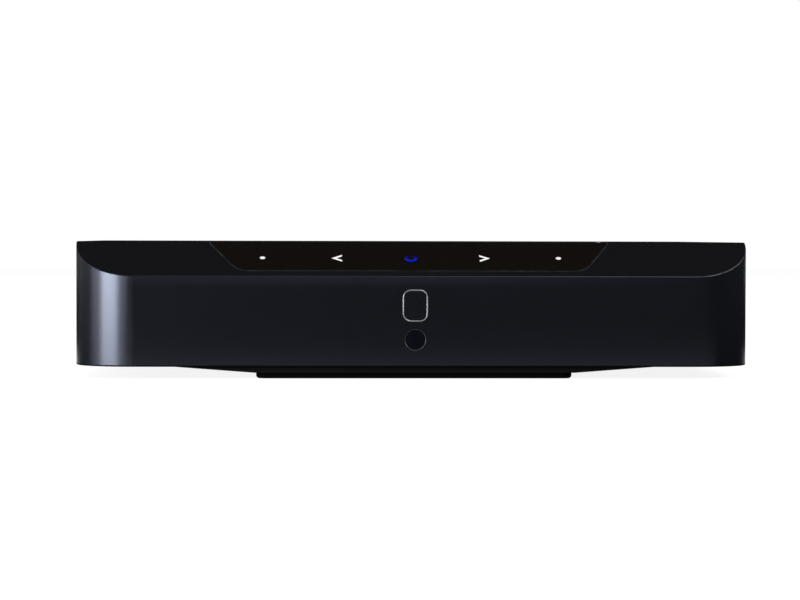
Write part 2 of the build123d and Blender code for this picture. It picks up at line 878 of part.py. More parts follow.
# Touch panel: a smoked lens that covers the slope and folds over the ridge on to the deck
with BuildPart() as touch_panel:
    extrude(lens_plan(0), amount=2 * body_height)
    extrude(side_profile(lens_recess), amount=body_width, both=True, mode=Mode.INTERSECT)
    ridge = touch_panel.edges().filter_by(Axis.X).filter_by(
        lambda e: abs(e.center().Z - body_height + lens_recess) < lens_recess
        and e.center().Y < front_y + slope_depth + edge_radius
    )
    fillet(ridge, edge_radius)
    upper_faces = touch_panel.faces().filter_by(lambda f: f.normal_at().Z > cos(slope_angle) / 2)
    upper_edges = [e for face in upper_faces for e in face.edges()]
    upper_middles = [e.center() for e in upper_edges]
    rim_edges = [e for e in upper_edges if upper_middles.count(e.center()) == 1]
    chamfer(rim_edges, lens_bevel)
    extrude(side_profile(lens_under), amount=body_width, both=True, mode=Mode.SUBTRACT)
    extrude(mark_sketch(0, symbol_clearance), amount=-lens_recess - symbol_depth, mode=Mode.SUBTRACT)
    extrude(ring_sketch(0, symbol_clearance), amount=-lens_recess - symbol_depth, mode=Mode.SUBTRACT)
keep(touch_panel, "touch_panel")

# Symbols let into the lens: two dots and two chevrons, and the ring between them
with BuildPart() as symbol_windows:
    extrude(mark_sketch(-lens_recess, 0), amount=-symbol_depth)
keep(symbol_windows, "symbol_windows")

with BuildPart() as ring_window:
    extrude(ring_sketch(-lens_recess, 0), amount=-symbol_depth)
keep(ring_window, "ring_window")

# Gasket between the lens and its ledge
with BuildPart() as panel_gasket:
    extrude(lens_plan(-gasket_thickness), amount=2 * body_height)
    extrude(lens_plan(-lens_ledge), amount=2 * body_height, mode=Mode.SUBTRACT)
    extrude(side_profile(lens_under), amount=body_width, both=True, mode=Mode.INTERSECT)
    extrude(side_profile(lens_seat), amount=body_width, both=True, mode=Mode.SUBTRACT)
keep(panel_gasket, "panel_gasket")

# Touch board on the back of the lens, with light holes, and its lamps
with BuildPart() as touch_board:
    extrude(lens_plan(-lens_ledge - touch_board_clearance), amount=2 * body_height)
    extrude(side_profile(lens_under), amount=body_width, both=True, mode=Mode.INTERSECT)
    extrude(side_profile(board_under), amount=body_width, both=True, mode=Mode.SUBTRACT)
    with BuildSketch():
        with Locations((0, front_y + slope_depth - touch_board_ridge_gap)):
            Rectangle(body_width, body_depth, align=(Align.CENTER, Align.MIN))
    extrude(amount=2 * body_height, mode=Mode.SUBTRACT)
    with BuildSketch(slope_plane):
        with Locations(*symbol_places):
            Circle(light_hole_radius)
    extrude(amount=-2 * board_under, mode=Mode.SUBTRACT)
keep(touch_board, "touch_board")

with BuildPart() as touch_lamps:
    with BuildSketch(slope_plane.offset(-board_under)):
        with Locations(*symbol_places):
            Rectangle(lamp_width, lamp_length)
    extrude(amount=-lamp_height)
keep(touch_lamps, "touch_lamps")

# Receiver window in the front wall, flanged behind it
with BuildPart() as sensor_window:
    rod(0, window_z, front_y + window_recess, window_radius, wall - window_recess)
    rod(0, window_z, front_y + wall, window_radius + window_flange, window_flange_thickness)
keep(sensor_window, "sensor_window")

# Receiver and its board, which stands in the pan's cradle behind the window
with BuildPart() as sensor_board:
    block(
        0,
        sensor_board_y,
        sensor_board_bottom,
        sensor_board_width,
        sensor_board_thickness,
        sensor_board_height,
    )
keep(sensor_board, "sensor_board")

with BuildPart() as ir_receiver:
    receiver_back = sensor_board_y - sensor_board_thickness / 2
    with Locations((0, receiver_back, window_z)):
        Box(
            receiver_width,
            receiver_depth,
            receiver_height,
            align=(Align.CENTER, Align.MAX, Align.CENTER),
        )
    with Locations((0, receiver_back - receiver_depth, window_z)):
        Sphere(receiver_lens_radius)
keep(ir_receiver, "ir_receiver")

# Badge: a plain polished outline let into the front wall
with BuildPart() as badge_frame:
    extrude(badge_outline(front_y - badge_proud), amount=-badge_proud - badge_seat)
keep(badge_frame, "badge_frame")

# Circuit boards, their screws and the insulating sheet that stands between them
with BuildPart() as main_board:
    board(main_left, main_right, main_front_y, main_post_x)
keep(main_board, "main_board")

with BuildPart() as power_board:
    board(power_left, power_right, power_front_y, power_post_x)
keep(power_board, "power_board")

with BuildPart() as board_screws:
    for x, y in post_places:
        shank_low = board_bottom - board_screw_depth + screw_tip_gap
        drum(x, y, shank_low, screw_radius, board_top - shank_low)
        drum(x, y, board_top, board_head_radius, board_head_height)
        recess_low = board_top + board_head_height - screw_recess_depth
        block(x, y, recess_low, screw_recess_arm, screw_recess_width, screw_recess_depth, Mode.SUBTRACT)
        block(x, y, recess_low, screw_recess_width, screw_recess_arm, screw_recess_depth, Mode.SUBTRACT)
keep(board_screws, "board_screws")

with BuildPart() as barrier_sheet:
    barrier_outer = abs(barrier_x) + barrier_thickness / 2
    barrier_low = keel_bottom + pan_thickness + pan_rise(barrier_outer) + barrier_clearance
    barrier_rear_y = panel_inner_y - barrier_end_margin
    with Locations((barrier_x, power_front_y, barrier_low)):
        Box(
            barrier_thickness,
            barrier_rear_y - power_front_y,
            barrier_top - barrier_low,
            align=(Align.CENTER, Align.MIN, Align.MIN),
        )
    notch_width = cable_width + 2 * cable_notch_margin
    block(barrier_x, cable_y, header_top, 2 * barrier_thickness, notch_width, barrier_top, Mode.SUBTRACT)
keep(barrier_sheet, "barrier_sheet")

# Processor and memory under their shield, and the wireless module
with BuildPart() as processor_chips:
    block(processor_x, processor_y, board_top, processor_size, processor_size, chip_height)
    for side in (-1, 1):
        memory_x = processor_x + memory_offset
        memory_y = processor_y + side * memory_pitch / 2
        block(memory_x, memory_y, board_top, memory_width, memory_length, chip_height)
keep(processor_chips, "processor_chips")

with BuildPart() as processor_shield:
    block(shield_x, processor_y, board_top, shield_width, shield_length, shield_height)
    block(
        shield_x,
        processor_y,
        board_top,
        shield_width - 2 * shield_wall,
        shield_length - 2 * shield_wall,
        shield_height - shield_wall,
        Mode.SUBTRACT,
    )
    with Locations((shield_x, processor_y, board_top + shield_height)):
        with GridLocations(shield_hole_pitch, shield_hole_pitch, shield_hole_rows, shield_hole_rows):
            Hole(shield_hole_radius, depth=2 * shield_wall)
keep(processor_shield, "processor_shield")

with BuildPart() as wireless_module:
    block(wireless_x, wireless_y, board_top, wireless_width, wireless_length, wireless_height)
    fillet(wireless_module.edges().filter_by(Axis.Z), board_corner / 2)
keep(wireless_module, "wireless_module")

# Amplifier chips with their pads and finned heat sink
with BuildPart() as amplifier_chips:
    for x in amplifier_x:
        block(x, amplifier_y, board_top, amplifier_size, amplifier_size, amplifier_height)
keep(amplifier_chips, "amplifier_chips")

with BuildPart() as thermal_pads:
    for x in amplifier_x:
        block(x, amplifier_y, board_top + amplifier_height, amplifier_size, amplifier_size, pad_thickness)
keep(thermal_pads, "thermal_pads")

with BuildPart() as amplifier_heatsink:
    sink_low = board_top + amplifier_height + pad_thickness
    block(heatsink_x, amplifier_y, sink_low, heatsink_width, heatsink_length, heatsink_base)
    fin_pitch = (heatsink_width - heatsink_fin) / (heatsink_fin_count - 1)
    for k in range(heatsink_fin_count):
        fin_x = heatsink_x - (heatsink_width - heatsink_fin) / 2 + k * fin_pitch
        block(fin_x, amplifier_y, sink_low, heatsink_fin, heatsink_length, heatsink_height)
keep(amplifier_heatsink, "amplifier_heatsink")

# Output filters, one for each terminal
with BuildPart() as output_inductors:
    with BuildSketch(Plane.XY.offset(board_top)):
        with Locations([(x, inductor_y) for x in terminal_x]):
            RectangleRounded(inductor_size, inductor_size, inductor_corner)
    extrude(amount=inductor_height)
    for x in terminal_x:
        dimple_low = board_top + inductor_height - inductor_dimple
        drum(x, inductor_y, dimple_low, inductor_core_radius, inductor_dimple, Mode.SUBTRACT)
keep(output_inductors, "output_inductors")

with BuildPart() as film_capacitors:
    for x in terminal_x:
        block(x, film_y, board_top, film_width, film_length, film_height)
    fillet(film_capacitors.edges().filter_by(Axis.Z), film_corner)
keep(film_capacitors, "film_capacitors")

# Electrolytic capacitors of the amplifier and of the supply
with BuildPart() as reservoir_capacitors:
    for x in reservoir_x:
        drum(x, reservoir_y, board_top, reservoir_radius, reservoir_height)
    fillet(reservoir_capacitors.edges().group_by(Axis.Z)[-1], can_edge)
keep(reservoir_capacitors, "reservoir_capacitors")

with BuildPart() as bulk_capacitor:
    drum(bulk_x, bulk_y, board_top, bulk_radius, bulk_height)
    fillet(bulk_capacitor.edges().group_by(Axis.Z)[-1], can_edge)
keep(bulk_capacitor, "bulk_capacitor")

# Transformer: a ferrite core with three legs, a bobbin and its winding
window_low = board_top + core_yoke
window_height = core_height - 2 * core_yoke
with BuildPart() as transformer_core:
    block(supply_x, transformer_y, board_top, transformer_width, core_depth, core_height)
    core_window = (transformer_width - core_leg) / 2 - core_outer_leg
    for side in (-1, 1):
        window_x = supply_x + side * (core_leg + core_window) / 2
        block(window_x, transformer_y, window_low, core_window, core_depth, window_height, Mode.SUBTRACT)
keep(transformer_core, "transformer_core")

sleeve_width = core_leg + 2 * (bobbin_clearance + bobbin_wall)
sleeve_depth = core_depth + 2 * (bobbin_clearance + bobbin_wall)
with BuildPart() as transformer_bobbin:
    bobbin_low = window_low + bobbin_clearance
    bobbin_height = window_height - 2 * bobbin_clearance
    upper_flange_low = bobbin_low + bobbin_height - bobbin_flange
    drum(supply_x, transformer_y, bobbin_low, bobbin_radius, bobbin_flange)
    drum(supply_x, transformer_y, upper_flange_low, bobbin_radius, bobbin_flange)
    block(supply_x, transformer_y, bobbin_low, sleeve_width, sleeve_depth, bobbin_height)
    for side in (-1, 1):
        foot_y = transformer_y + side * (bobbin_radius - bobbin_foot_length / 2)
        foot_rise = bobbin_low - board_top + bobbin_flange
        block(supply_x, foot_y, board_top, bobbin_foot_width, bobbin_foot_length, foot_rise)
    leg_hole_width = core_leg + 2 * bobbin_clearance
    leg_hole_depth = core_depth + 2 * bobbin_clearance
    block(supply_x, transformer_y, board_top, leg_hole_width, leg_hole_depth, core_height, Mode.SUBTRACT)
keep(transformer_bobbin, "transformer_bobbin")

with BuildPart() as transformer_winding:
    coil_low = bobbin_low + bobbin_flange
    coil_height = bobbin_height - 2 * bobbin_flange
    drum(supply_x, transformer_y, coil_low, winding_radius, coil_height)
    block(supply_x, transformer_y, coil_low, sleeve_width, sleeve_depth, coil_height, Mode.SUBTRACT)
keep(transformer_winding, "transformer_winding")

# Mains choke, fuse, and the switching transistors on their heat sink
with BuildPart() as mains_choke:
    drum(choke_x, choke_y, board_top, choke_radius, choke_height)
    drum(choke_x, choke_y, board_top, choke_hole, choke_height, Mode.SUBTRACT)
    fillet(mains_choke.edges().group_by(Axis.Z)[-1], choke_edge)
keep(mains_choke, "mains_choke")

with BuildPart() as mains_fuse:
    fuse_z = board_top + fuse_axis_height
    fuse_start = fuse_y - fuse_length / 2
    rod(fuse_x, fuse_z, fuse_start, fuse_glass_radius, fuse_length)
    for cap_start in (fuse_start, fuse_start + fuse_length - fuse_cap_length):
        rod(fuse_x, fuse_z, cap_start, fuse_radius, fuse_cap_length)
        leg_y = cap_start + fuse_cap_length / 2
        block(fuse_x, leg_y, board_top, fuse_radius, fuse_cap_length / 2, fuse_axis_height)
keep(mains_fuse, "mains_fuse")

with BuildPart() as supply_heatsink:
    block(supply_x, supply_sink_y, board_top, supply_sink_width, supply_sink_thickness, supply_sink_height)
keep(supply_heatsink, "supply_heatsink")

with BuildPart() as supply_transistors:
    transistor_y = supply_sink_y - (supply_sink_thickness + transistor_thickness) / 2
    for side in (-1, 1):
        transistor_x = supply_x + side * transistor_pitch / 2
        block(
            transistor_x,
            transistor_y,
            board_top,
            transistor_width,
            transistor_thickness,
            transistor_height,
        )
keep(supply_transistors, "supply_transistors")

# Headers and ribbon sockets on the boards, and what joins them
with BuildPart() as board_headers:
    for x in (power_header_x, main_header_x):
        block(x, cable_y, board_top, header_depth, cable_width + 2 * ribbon_socket_margin, header_height)
    for x, width in ((touch_ribbon_x, touch_ribbon_width), (0, sensor_ribbon_width)):
        block(
            x,
            ribbon_socket_y,
            board_top,
            width + 2 * ribbon_socket_margin,
            ribbon_socket_depth,
            ribbon_socket_height,
        )
keep(board_headers, "board_headers")

with BuildPart() as power_cable:
    cable_points = [
        (power_header_x, header_top),
        (power_header_x, header_top + cable_rise),
        (main_header_x, header_top + cable_rise),
        (main_header_x, header_top),
    ]
    cable_side = at_depth(cable_y + cable_width / 2)
    cable_edge = folded_strip(cable_side, cable_points, cable_thickness, cable_bend)
    extrude(cable_edge, amount=cable_width)
keep(power_cable, "power_cable")

with BuildPart() as touch_ribbon:
    ribbon_depth = board_under + ribbon_thickness / 2
    landing = [front_y + touch_ribbon_start, front_y + touch_ribbon_end]
    touch_points = [(y, slope_height(y, ribbon_depth)) for y in landing]
    touch_points += [(ribbon_socket_y, socket_top + ribbon_drop), (ribbon_socket_y, socket_top)]
    touch_side = Plane.YZ.offset(touch_ribbon_x - touch_ribbon_width / 2)
    touch_edge = folded_strip(touch_side, touch_points, ribbon_thickness, ribbon_bend)
    extrude(touch_edge, amount=touch_ribbon_width)
keep(touch_ribbon, "touch_ribbon")

with BuildPart() as sensor_ribbon:
    ribbon_y = sensor_board_y + (sensor_board_thickness + ribbon_thickness) / 2
    sensor_points = [
        (ribbon_y, sensor_ribbon_bottom),
        (ribbon_y, sensor_ribbon_top),
        (ribbon_socket_y, sensor_ribbon_top),
        (ribbon_socket_y, socket_top),
    ]
    sensor_side = Plane.YZ.offset(-sensor_ribbon_width / 2)
    sensor_edge = folded_strip(sensor_side, sensor_points, ribbon_thickness, ribbon_bend)
    extrude(sensor_edge, amount=sensor_ribbon_width)
keep(sensor_ribbon, "sensor_ribbon")

# Mains inlet with its two round pins
inlet_face_y = panel_outer_y + inlet_flange_thickness
inlet_floor_y = inlet_face_y - inlet_mouth_depth
inlet_pin_x = [inlet_x + side * inlet_pin_spacing / 2 for side in (-1, 1)]
with BuildPart() as mains_inlet:
    with BuildSketch(at_depth(panel_outer_y)):
        with Locations((inlet_x, inlet_z)):
            RectangleRounded(inlet_width + 2 * inlet_flange, inlet_height + 2 * inlet_flange, inlet_corner)
    extrude(amount=-inlet_flange_thickness)
    with BuildSketch(at_depth(panel_outer_y)):
        with Locations((inlet_x, inlet_z)):
            Rectangle(inlet_width, inlet_height)
    extrude(amount=inlet_depth)
    with BuildSketch(at_depth(inlet_floor_y)):
        with Locations((inlet_x, inlet_z)):
            SlotOverall(inlet_mouth_width, inlet_mouth_height)
    extrude(amount=-inlet_mouth_depth, mode=Mode.SUBTRACT)
    for x in inlet_pin_x:
        rod(x, inlet_z, inlet_floor_y - inlet_pin_hold, inlet_pin_radius, inlet_pin_hold, Mode.SUBTRACT)
keep(mains_inlet, "mains_inlet")

with BuildPart() as inlet_pins:
    for x in inlet_pin_x:
        rod(x, inlet_z, inlet_floor_y - inlet_pin_hold, inlet_pin_radius, inlet_pin_hold + inlet_pin_length)
    fillet(inlet_pins.edges().group_by(Axis.Y)[-1], inlet_pin_radius / 2)
keep(inlet_pins, "inlet_pins")

# Phono socket: a plastic housing with its core, and the metal barrel round the core, with a collar
rca_core_radius = rca_barrel_radius - rca_barrel_wall
rca_tip_y = panel_outer_y + rca_barrel_length
rca_start_y = socket_inner_y - rca_collar_hold
with BuildPart() as rca_housing:
    with Locations((rca_x, rca_start_y, board_top)):
        Box(
            rca_body_width,
            rca_body_depth,
            rca_body_height,
            align=(Align.CENTER, Align.MAX, Align.MIN),
        )
    rod(rca_x, rca_z, rca_start_y, rca_core_radius, rca_tip_y - rca_start_y)
    rod(rca_x, rca_z, rca_tip_y - rca_bore_depth, rca_bore_radius, rca_bore_depth, Mode.SUBTRACT)
keep(rca_housing, "rca_housing")

with BuildPart() as rca_barrel:
    rod(rca_x, rca_z, rca_start_y, rca_barrel_radius, rca_tip_y - rca_start_y)
    rod(rca_x, rca_z, rca_start_y, rca_collar_radius, panel_outer_y - rca_start_y)
    rca_core_hole = rca_core_radius + port_clearance
    rod(rca_x, rca_z, rca_start_y, rca_core_hole, rca_tip_y - rca_start_y, Mode.SUBTRACT)
keep(rca_barrel, "rca_barrel")


def port_shell(x, width, height, bevel):
    """Folded metal case of a port, open to the rear, in the current piece."""
    outside = port_outline(x, width, height, bevel, 0, socket_outer_y)
    inside = port_outline(x, width, height, bevel, -port_wall, socket_outer_y)
    extrude(outside, amount=port_depth)
    extrude(inside, amount=port_depth - port_wall, mode=Mode.SUBTRACT)


def port_insert(x, width, height, bevel, tongue_width, tongue_thickness, tongue_rise):
    """Plastic filling of a port: a back block with a tongue, in the current piece."""
    back_y = socket_outer_y - port_depth + port_wall
    inside = port_outline(x, width, height, bevel, -port_wall - port_clearance, back_y)
    extrude(inside, amount=-port_back)
    with Locations((x, back_y, board_top + tongue_rise)):
        Box(
            tongue_width,
            port_depth - port_wall - port_mouth_gap,
            tongue_thickness,
            align=(Align.CENTER, Align.MIN, Align.CENTER),
        )


with BuildPart() as hdmi_shell:
    port_shell(hdmi_x, hdmi_width, hdmi_height, hdmi_bevel)
keep(hdmi_shell, "hdmi_shell")

with BuildPart() as usb_shell:
    port_shell(usb_x, usb_width, usb_height, 0)
keep(usb_shell, "usb_shell")

with BuildPart() as port_inserts:
    port_insert(
        hdmi_x,
        hdmi_width,
        hdmi_height,
        hdmi_bevel,
        hdmi_tongue_width,
        hdmi_tongue_thickness,
        hdmi_height / 2,
    )
    usb_tongue_z = usb_height - port_wall - port_clearance - usb_tongue_thickness
    port_insert(usb_x, usb_width, usb_height, 0, usb_tongue_width, usb_tongue_thickness, usb_tongue_z)
keep(port_inserts, "port_inserts")

# Network socket: a metal case and the insert with its mouth and latch notch
lan_face_y = socket_outer_y
with BuildPart() as lan_shell:
    extrude(port_outline(lan_x, lan_width, lan_height, 0, 0, lan_face_y), amount=lan_depth)
    extrude(
        port_outline(lan_x, lan_width, lan_height, 0, -lan_wall, lan_face_y),
        amount=lan_depth - lan_wall,
        mode=Mode.SUBTRACT,
    )
keep(lan_shell, "lan_shell")

with BuildPart() as lan_insert:
    lan_filling = port_outline(lan_x, lan_width, lan_height, 0, -lan_wall - port_clearance, lan_face_y)
    extrude(lan_filling, amount=lan_depth - lan_wall)
    with BuildSketch(at_depth(lan_face_y)):
        with Locations((lan_x, board_top + lan_mouth_rise)):
            Rectangle(lan_mouth_width, lan_mouth_height, align=(Align.CENTER, Align.MIN))
            Rectangle(lan_latch_width, lan_latch_height, align=(Align.CENTER, Align.MAX))
    extrude(amount=lan_mouth_depth, mode=Mode.SUBTRACT)
keep(lan_insert, "lan_insert")

# Control jack for a 3.5 mm plug
with BuildPart() as control_jack:
    jack_z = board_top + jack_height / 2
    jack_tip_y = panel_outer_y + jack_nose_stand
    with Locations((jack_x, socket_inner_y, board_top)):
        Box(jack_width, jack_depth, jack_height, align=(Align.CENTER, Align.MAX, Align.MIN))
    rod(jack_x, jack_z, socket_inner_y, jack_nose_radius, jack_tip_y - socket_inner_y)
    rod(jack_x, jack_z, jack_tip_y - jack_bore_depth, jack_bore_radius, jack_bore_depth, Mode.SUBTRACT)
keep(control_jack, "control_jack")

# Terminal block, moulded round the stems, with a plus or minus mark over each terminal
with BuildPart() as terminal_block:
    with BuildSketch(at_depth(panel_outer_y)):
        with Locations((block_middle_x, terminal_z)):
            RectangleRounded(block_right - block_left, block_height, block_corner)
    extrude(amount=-block_stand)
    fillet(terminal_block.edges().group_by(Axis.Y)[-1], block_edge)
    with BuildSketch(at_depth(panel_outer_y)):
        with Locations((block_middle_x, terminal_z)):
            Rectangle(block_right - block_left - 2 * block_step, block_body_height)
    extrude(amount=panel_outer_y - block_back_y)
    with BuildSketch(at_depth(block_face_y)):
        with Locations([(x, terminal_z + mark_rise) for x in terminal_x]):
            Rectangle(mark_height, mark_width)
        with Locations([(x, terminal_z + mark_rise) for x in terminal_x[1::2]]):
            Rectangle(mark_width, mark_height)
    extrude(amount=-mark_proud)
    for x in terminal_x:
        stem_hole = stem_radius + screw_clearance
        rod(x, terminal_z, stem_back_y, stem_hole, block_face_y - stem_back_y, Mode.SUBTRACT)
        rod(x, terminal_z, block_back_y, stem_tail_radius + screw_clearance, stem_hold, Mode.SUBTRACT)
keep(terminal_block, "terminal_block")

# Stems: bored for a plug, drilled for a wire, each riveted to a lug that stands on the board
with BuildPart() as terminal_stems:
    for x in terminal_x:
        rod(x, terminal_z, stem_back_y, stem_radius, stem_tip_y - stem_back_y)
        rod(x, terminal_z, lug_back_y, stem_tail_radius, stem_back_y - lug_back_y)
        with BuildSketch(at_depth(block_back_y)):
            with Locations((x, terminal_z)):
                Circle(lug_width / 2)
            with Locations((x, board_top)):
                Rectangle(lug_width, terminal_z - board_top, align=(Align.CENTER, Align.MIN))
        extrude(amount=lug_thickness)
    for x in terminal_x:
        rod(x, terminal_z, stem_tip_y - banana_depth, banana_radius, banana_depth, Mode.SUBTRACT)
        wire_y = block_face_y + wire_hole_step
        drum(x, wire_y, terminal_z - 2 * stem_radius, wire_hole_radius, 4 * stem_radius, Mode.SUBTRACT)
keep(terminal_stems, "terminal_stems")

# Clamps that slide on the stems, and the knurled caps that press them
for number, x in enumerate(terminal_x, start=1):
    with BuildPart() as clamp:
        rod(x, terminal_z, clamp_back_y, clamp_radius, clamp_thickness)
        rod(x, terminal_z, clamp_back_y, stem_radius + running_clearance, clamp_thickness, Mode.SUBTRACT)
    keep(clamp, f"terminal_clamp_{number}")

    with BuildPart() as cap:
        rod(x, terminal_z, cap_back_y, cap_radius, cap_length)
        chamfer(cap.edges().filter_by(GeomType.CIRCLE), cap_chamfer)
        with Locations(Location((x, cap_back_y, terminal_z), (-90, 0, 0))):
            with PolarLocations(cap_radius, cap_groove_count):
                Cylinder(cap_groove_radius, cap_length, align=stand_up, mode=Mode.SUBTRACT)
        rod(x, terminal_z, cap_back_y, stem_radius + running_clearance, cap_length - cap_end, Mode.SUBTRACT)
        rod(x, terminal_z, cap_back_y, cap_hole_radius, cap_length, Mode.SUBTRACT)
    keep(cap, f"terminal_cap_{number}")

os.makedirs("parts", exist_ok=True)
for piece in pieces:
    export_step(piece, f"parts/{piece.label}.step")
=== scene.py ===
"""Looks of a low streaming amplifier: finishes, bright trim, socket contacts and the studio round it."""

from __future__ import annotations

import json
import logging
import math
from dataclasses import dataclass, replace
from enum import Enum
from functools import cache
from typing import Callable, ClassVar

import bmesh
import bpy
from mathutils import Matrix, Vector


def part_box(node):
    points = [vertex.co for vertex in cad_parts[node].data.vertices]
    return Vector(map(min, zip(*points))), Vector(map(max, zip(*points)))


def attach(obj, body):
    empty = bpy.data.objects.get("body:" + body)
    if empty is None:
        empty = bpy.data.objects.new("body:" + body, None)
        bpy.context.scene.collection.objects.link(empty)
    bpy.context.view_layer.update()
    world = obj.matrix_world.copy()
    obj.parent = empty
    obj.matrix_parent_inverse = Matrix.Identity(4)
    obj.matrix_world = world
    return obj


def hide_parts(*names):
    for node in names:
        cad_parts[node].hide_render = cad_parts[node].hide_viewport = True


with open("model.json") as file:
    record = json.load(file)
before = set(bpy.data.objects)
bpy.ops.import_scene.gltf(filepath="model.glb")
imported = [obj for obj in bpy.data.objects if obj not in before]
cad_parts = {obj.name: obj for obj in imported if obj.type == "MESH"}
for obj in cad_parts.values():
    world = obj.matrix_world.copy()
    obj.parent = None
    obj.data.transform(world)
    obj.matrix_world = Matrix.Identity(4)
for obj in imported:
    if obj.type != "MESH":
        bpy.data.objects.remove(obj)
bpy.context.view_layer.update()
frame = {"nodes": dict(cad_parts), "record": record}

MM = 0.001
Colour = tuple[float, float, float]
Piece = bpy.types.Object
Socket = bpy.types.NodeSocket
Tree = bpy.types.NodeTree
log = logging.getLogger("streaming_amplifier")


class Axis(Enum):
    """An axis of the shared frame, by its place in a vector."""

    X = 0
    Y = 1
    Z = 2


class NodeSheet:
    """The nodes of one material or group, with short ways to add and wire them."""

    def __init__(self, tree: Tree) -> None:
        """Keeps the tree that the nodes go into."""
        self.tree = tree

    def add(self, kind: str, **settings: object) -> bpy.types.Node:
        """Adds a node.

        Args:
            kind: the node's type without its leading ShaderNode.
            settings: properties of the node and their values.

        Returns:
            The new node.
        """
        node = self.tree.nodes.new(f"ShaderNode{kind}")
        for name, value in settings.items():
            setattr(node, name, value)
        return node

    def put(self, target: Socket, value: object) -> None:
        """Wires a socket into another, or sets a constant on it.

        Args:
            target: the input socket.
            value: an output socket, a number or a vector; a colour may leave its alpha out.
        """
        if isinstance(value, Socket):
            self.tree.links.new(value, target)
        elif target.type == "RGBA" and len(value) == 3:
            target.default_value = (*value, 1.0)
        else:
            target.default_value = value

    def calc(
        self,
        operation: str,
        first: object,
        second: object = 0.0,
        clamp: bool = False,
    ) -> Socket:
        """Adds one sum.

        Args:
            operation: name of the operation of a Math node.
            first: a number or a socket.
            second: a number or a socket.
            clamp: whether the result is held between 0 and 1.

        Returns:
            The result's socket.
        """
        node = self.add("Math", operation=operation, use_clamp=clamp)
        self.put(node.inputs[0], first)
        self.put(node.inputs[1], second)
        return node.outputs[0]

    def remap(
        self,
        value: Socket,
        low: float,
        high: float,
        to_low: float = 0.0,
        to_high: float = 1.0,
    ) -> Socket:
        """Stretches a range of a value over another, smoothly and held at both ends.

        Args:
            value: the value's socket.
            low: start of its range.
            high: end of its range.
            to_low: result at the start.
            to_high: result at the end.

        Returns:
            The result's socket.
        """
        node = self.add("MapRange", interpolation_type="SMOOTHSTEP")
        for socket, amount in zip(node.inputs, (value, low, high, to_low, to_high)):
            self.put(socket, amount)
        return node.outputs[0]

    def mix(self, share: object, first: object, second: object, colour: bool = False) -> Socket:
        """Mixes two numbers, or two colours.

        Args:
            share: how much of the second there is, from 0 to 1.
            first: a constant or a socket.
            second: a constant or a socket.
            colour: whether the two are colours.

        Returns:
            The mixed socket.
        """
        node = self.add("Mix", data_type="RGBA" if colour else "FLOAT")
        wanted = "RGBA" if colour else "VALUE"
        ends = [s for s in node.inputs if s.name in ("A", "B") and s.type == wanted]
        self.put(node.inputs[0], share)
        self.put(ends[0], first)
        self.put(ends[1], second)
        return next(s for s in node.outputs if s.type == wanted)

    def shade(self, colour: object, tone: Socket) -> Socket:
        """Multiplies a colour by a number near 1.

        Args:
            colour: a colour or its socket.
            tone: the number's socket.

        Returns:
            The new colour's socket.
        """
        node = self.add("VectorMath", operation="SCALE")
        self.put(node.inputs[0], colour)
        self.put(node.inputs["Scale"], tone)
        return node.outputs[0]

    def place(self) -> Socket:
        """Position on the piece, in metres of the shared frame."""
        return self.add("TexCoord").outputs["Object"]

    def along(self, place: Socket, axis: Axis) -> Socket:
        """One coordinate of a position.

        Args:
            place: the position.
            axis: the coordinate's axis.

        Returns:
            The coordinate's socket.
        """
        node = self.add("SeparateXYZ")
        self.put(node.inputs[0], place)
        return node.outputs[axis.value]

    def upward(self) -> Socket:
        """How far the true surface faces up, from -1 to 1.

        Returns:
            The value's socket.
        """
        node = self.add("SeparateXYZ")
        self.put(node.inputs[0], self.add("NewGeometry").outputs["True Normal"])
        return node.outputs[Axis.Z.value]

    def scaled(self, place: Socket, scale: object, centre: Vector | None = None) -> Socket:
        """Moves a position to a centre and stretches it.

        Args:
            place: the position.
            scale: a factor for each axis, or a socket that gives them.
            centre: the point that becomes the origin.

        Returns:
            The new position's socket.
        """
        if centre is not None:
            shift = self.add("VectorMath", operation="SUBTRACT")
            self.put(shift.inputs[0], place)
            self.put(shift.inputs[1], tuple(centre))
            place = shift.outputs[0]
        node = self.add("VectorMath", operation="MULTIPLY")
        self.put(node.inputs[0], place)
        self.put(node.inputs[1], scale)
        return node.outputs[0]

    def noise(self, place: Socket, scale: object, detail: float = 2.0, roughness: float = 0.5) -> Socket:
        """Cloudy noise from 0 to 1, with scale cells to the metre.

        Args:
            place: the position.
            scale: cells to the metre, or their socket.
            detail: number of finer layers.
            roughness: how strong the finer layers are.

        Returns:
            The noise's socket.
        """
        node = self.add("TexNoise")
        self.put(node.inputs["Vector"], place)
        self.put(node.inputs["Scale"], scale)
        self.put(node.inputs["Detail"], detail)
        self.put(node.inputs["Roughness"], roughness)
        return node.outputs[0]

    def band(self, value: Socket, low: float, high: float, soft: float) -> Socket:
        """A mask that is 1 where a value lies between low and high, with edges soft metres wide.

        Args:
            value: the value's socket.
            low: where the mask rises.
            high: where it falls.
            soft: half the width of its edges.

        Returns:
            The mask's socket.
        """
        rising = self.remap(value, low - soft, low + soft)
        falling = self.remap(value, high - soft, high + soft, 1.0, 0.0)
        return self.product(rising, falling)

    def product(self, *factors: object) -> Socket:
        """Multiplies two or more numbers.

        Args:
            factors: numbers or sockets.

        Returns:
            The product.
        """
        result = factors[0]
        for factor in factors[1:]:
            result = self.calc("MULTIPLY", result, factor)
        return result

    def relief(self, height: Socket, depth: float) -> Socket:
        """The normal of a surface whose height runs over depth metres.

        Args:
            height: the height's socket, from 0 to 1.
            depth: the relief's depth, in metres.

        Returns:
            The normal's socket.
        """
        node = self.add("Bump")
        self.put(node.inputs["Strength"], 1.0)
        self.put(node.inputs["Distance"], depth)
        self.put(node.inputs["Height"], height)
        return node.outputs[0]

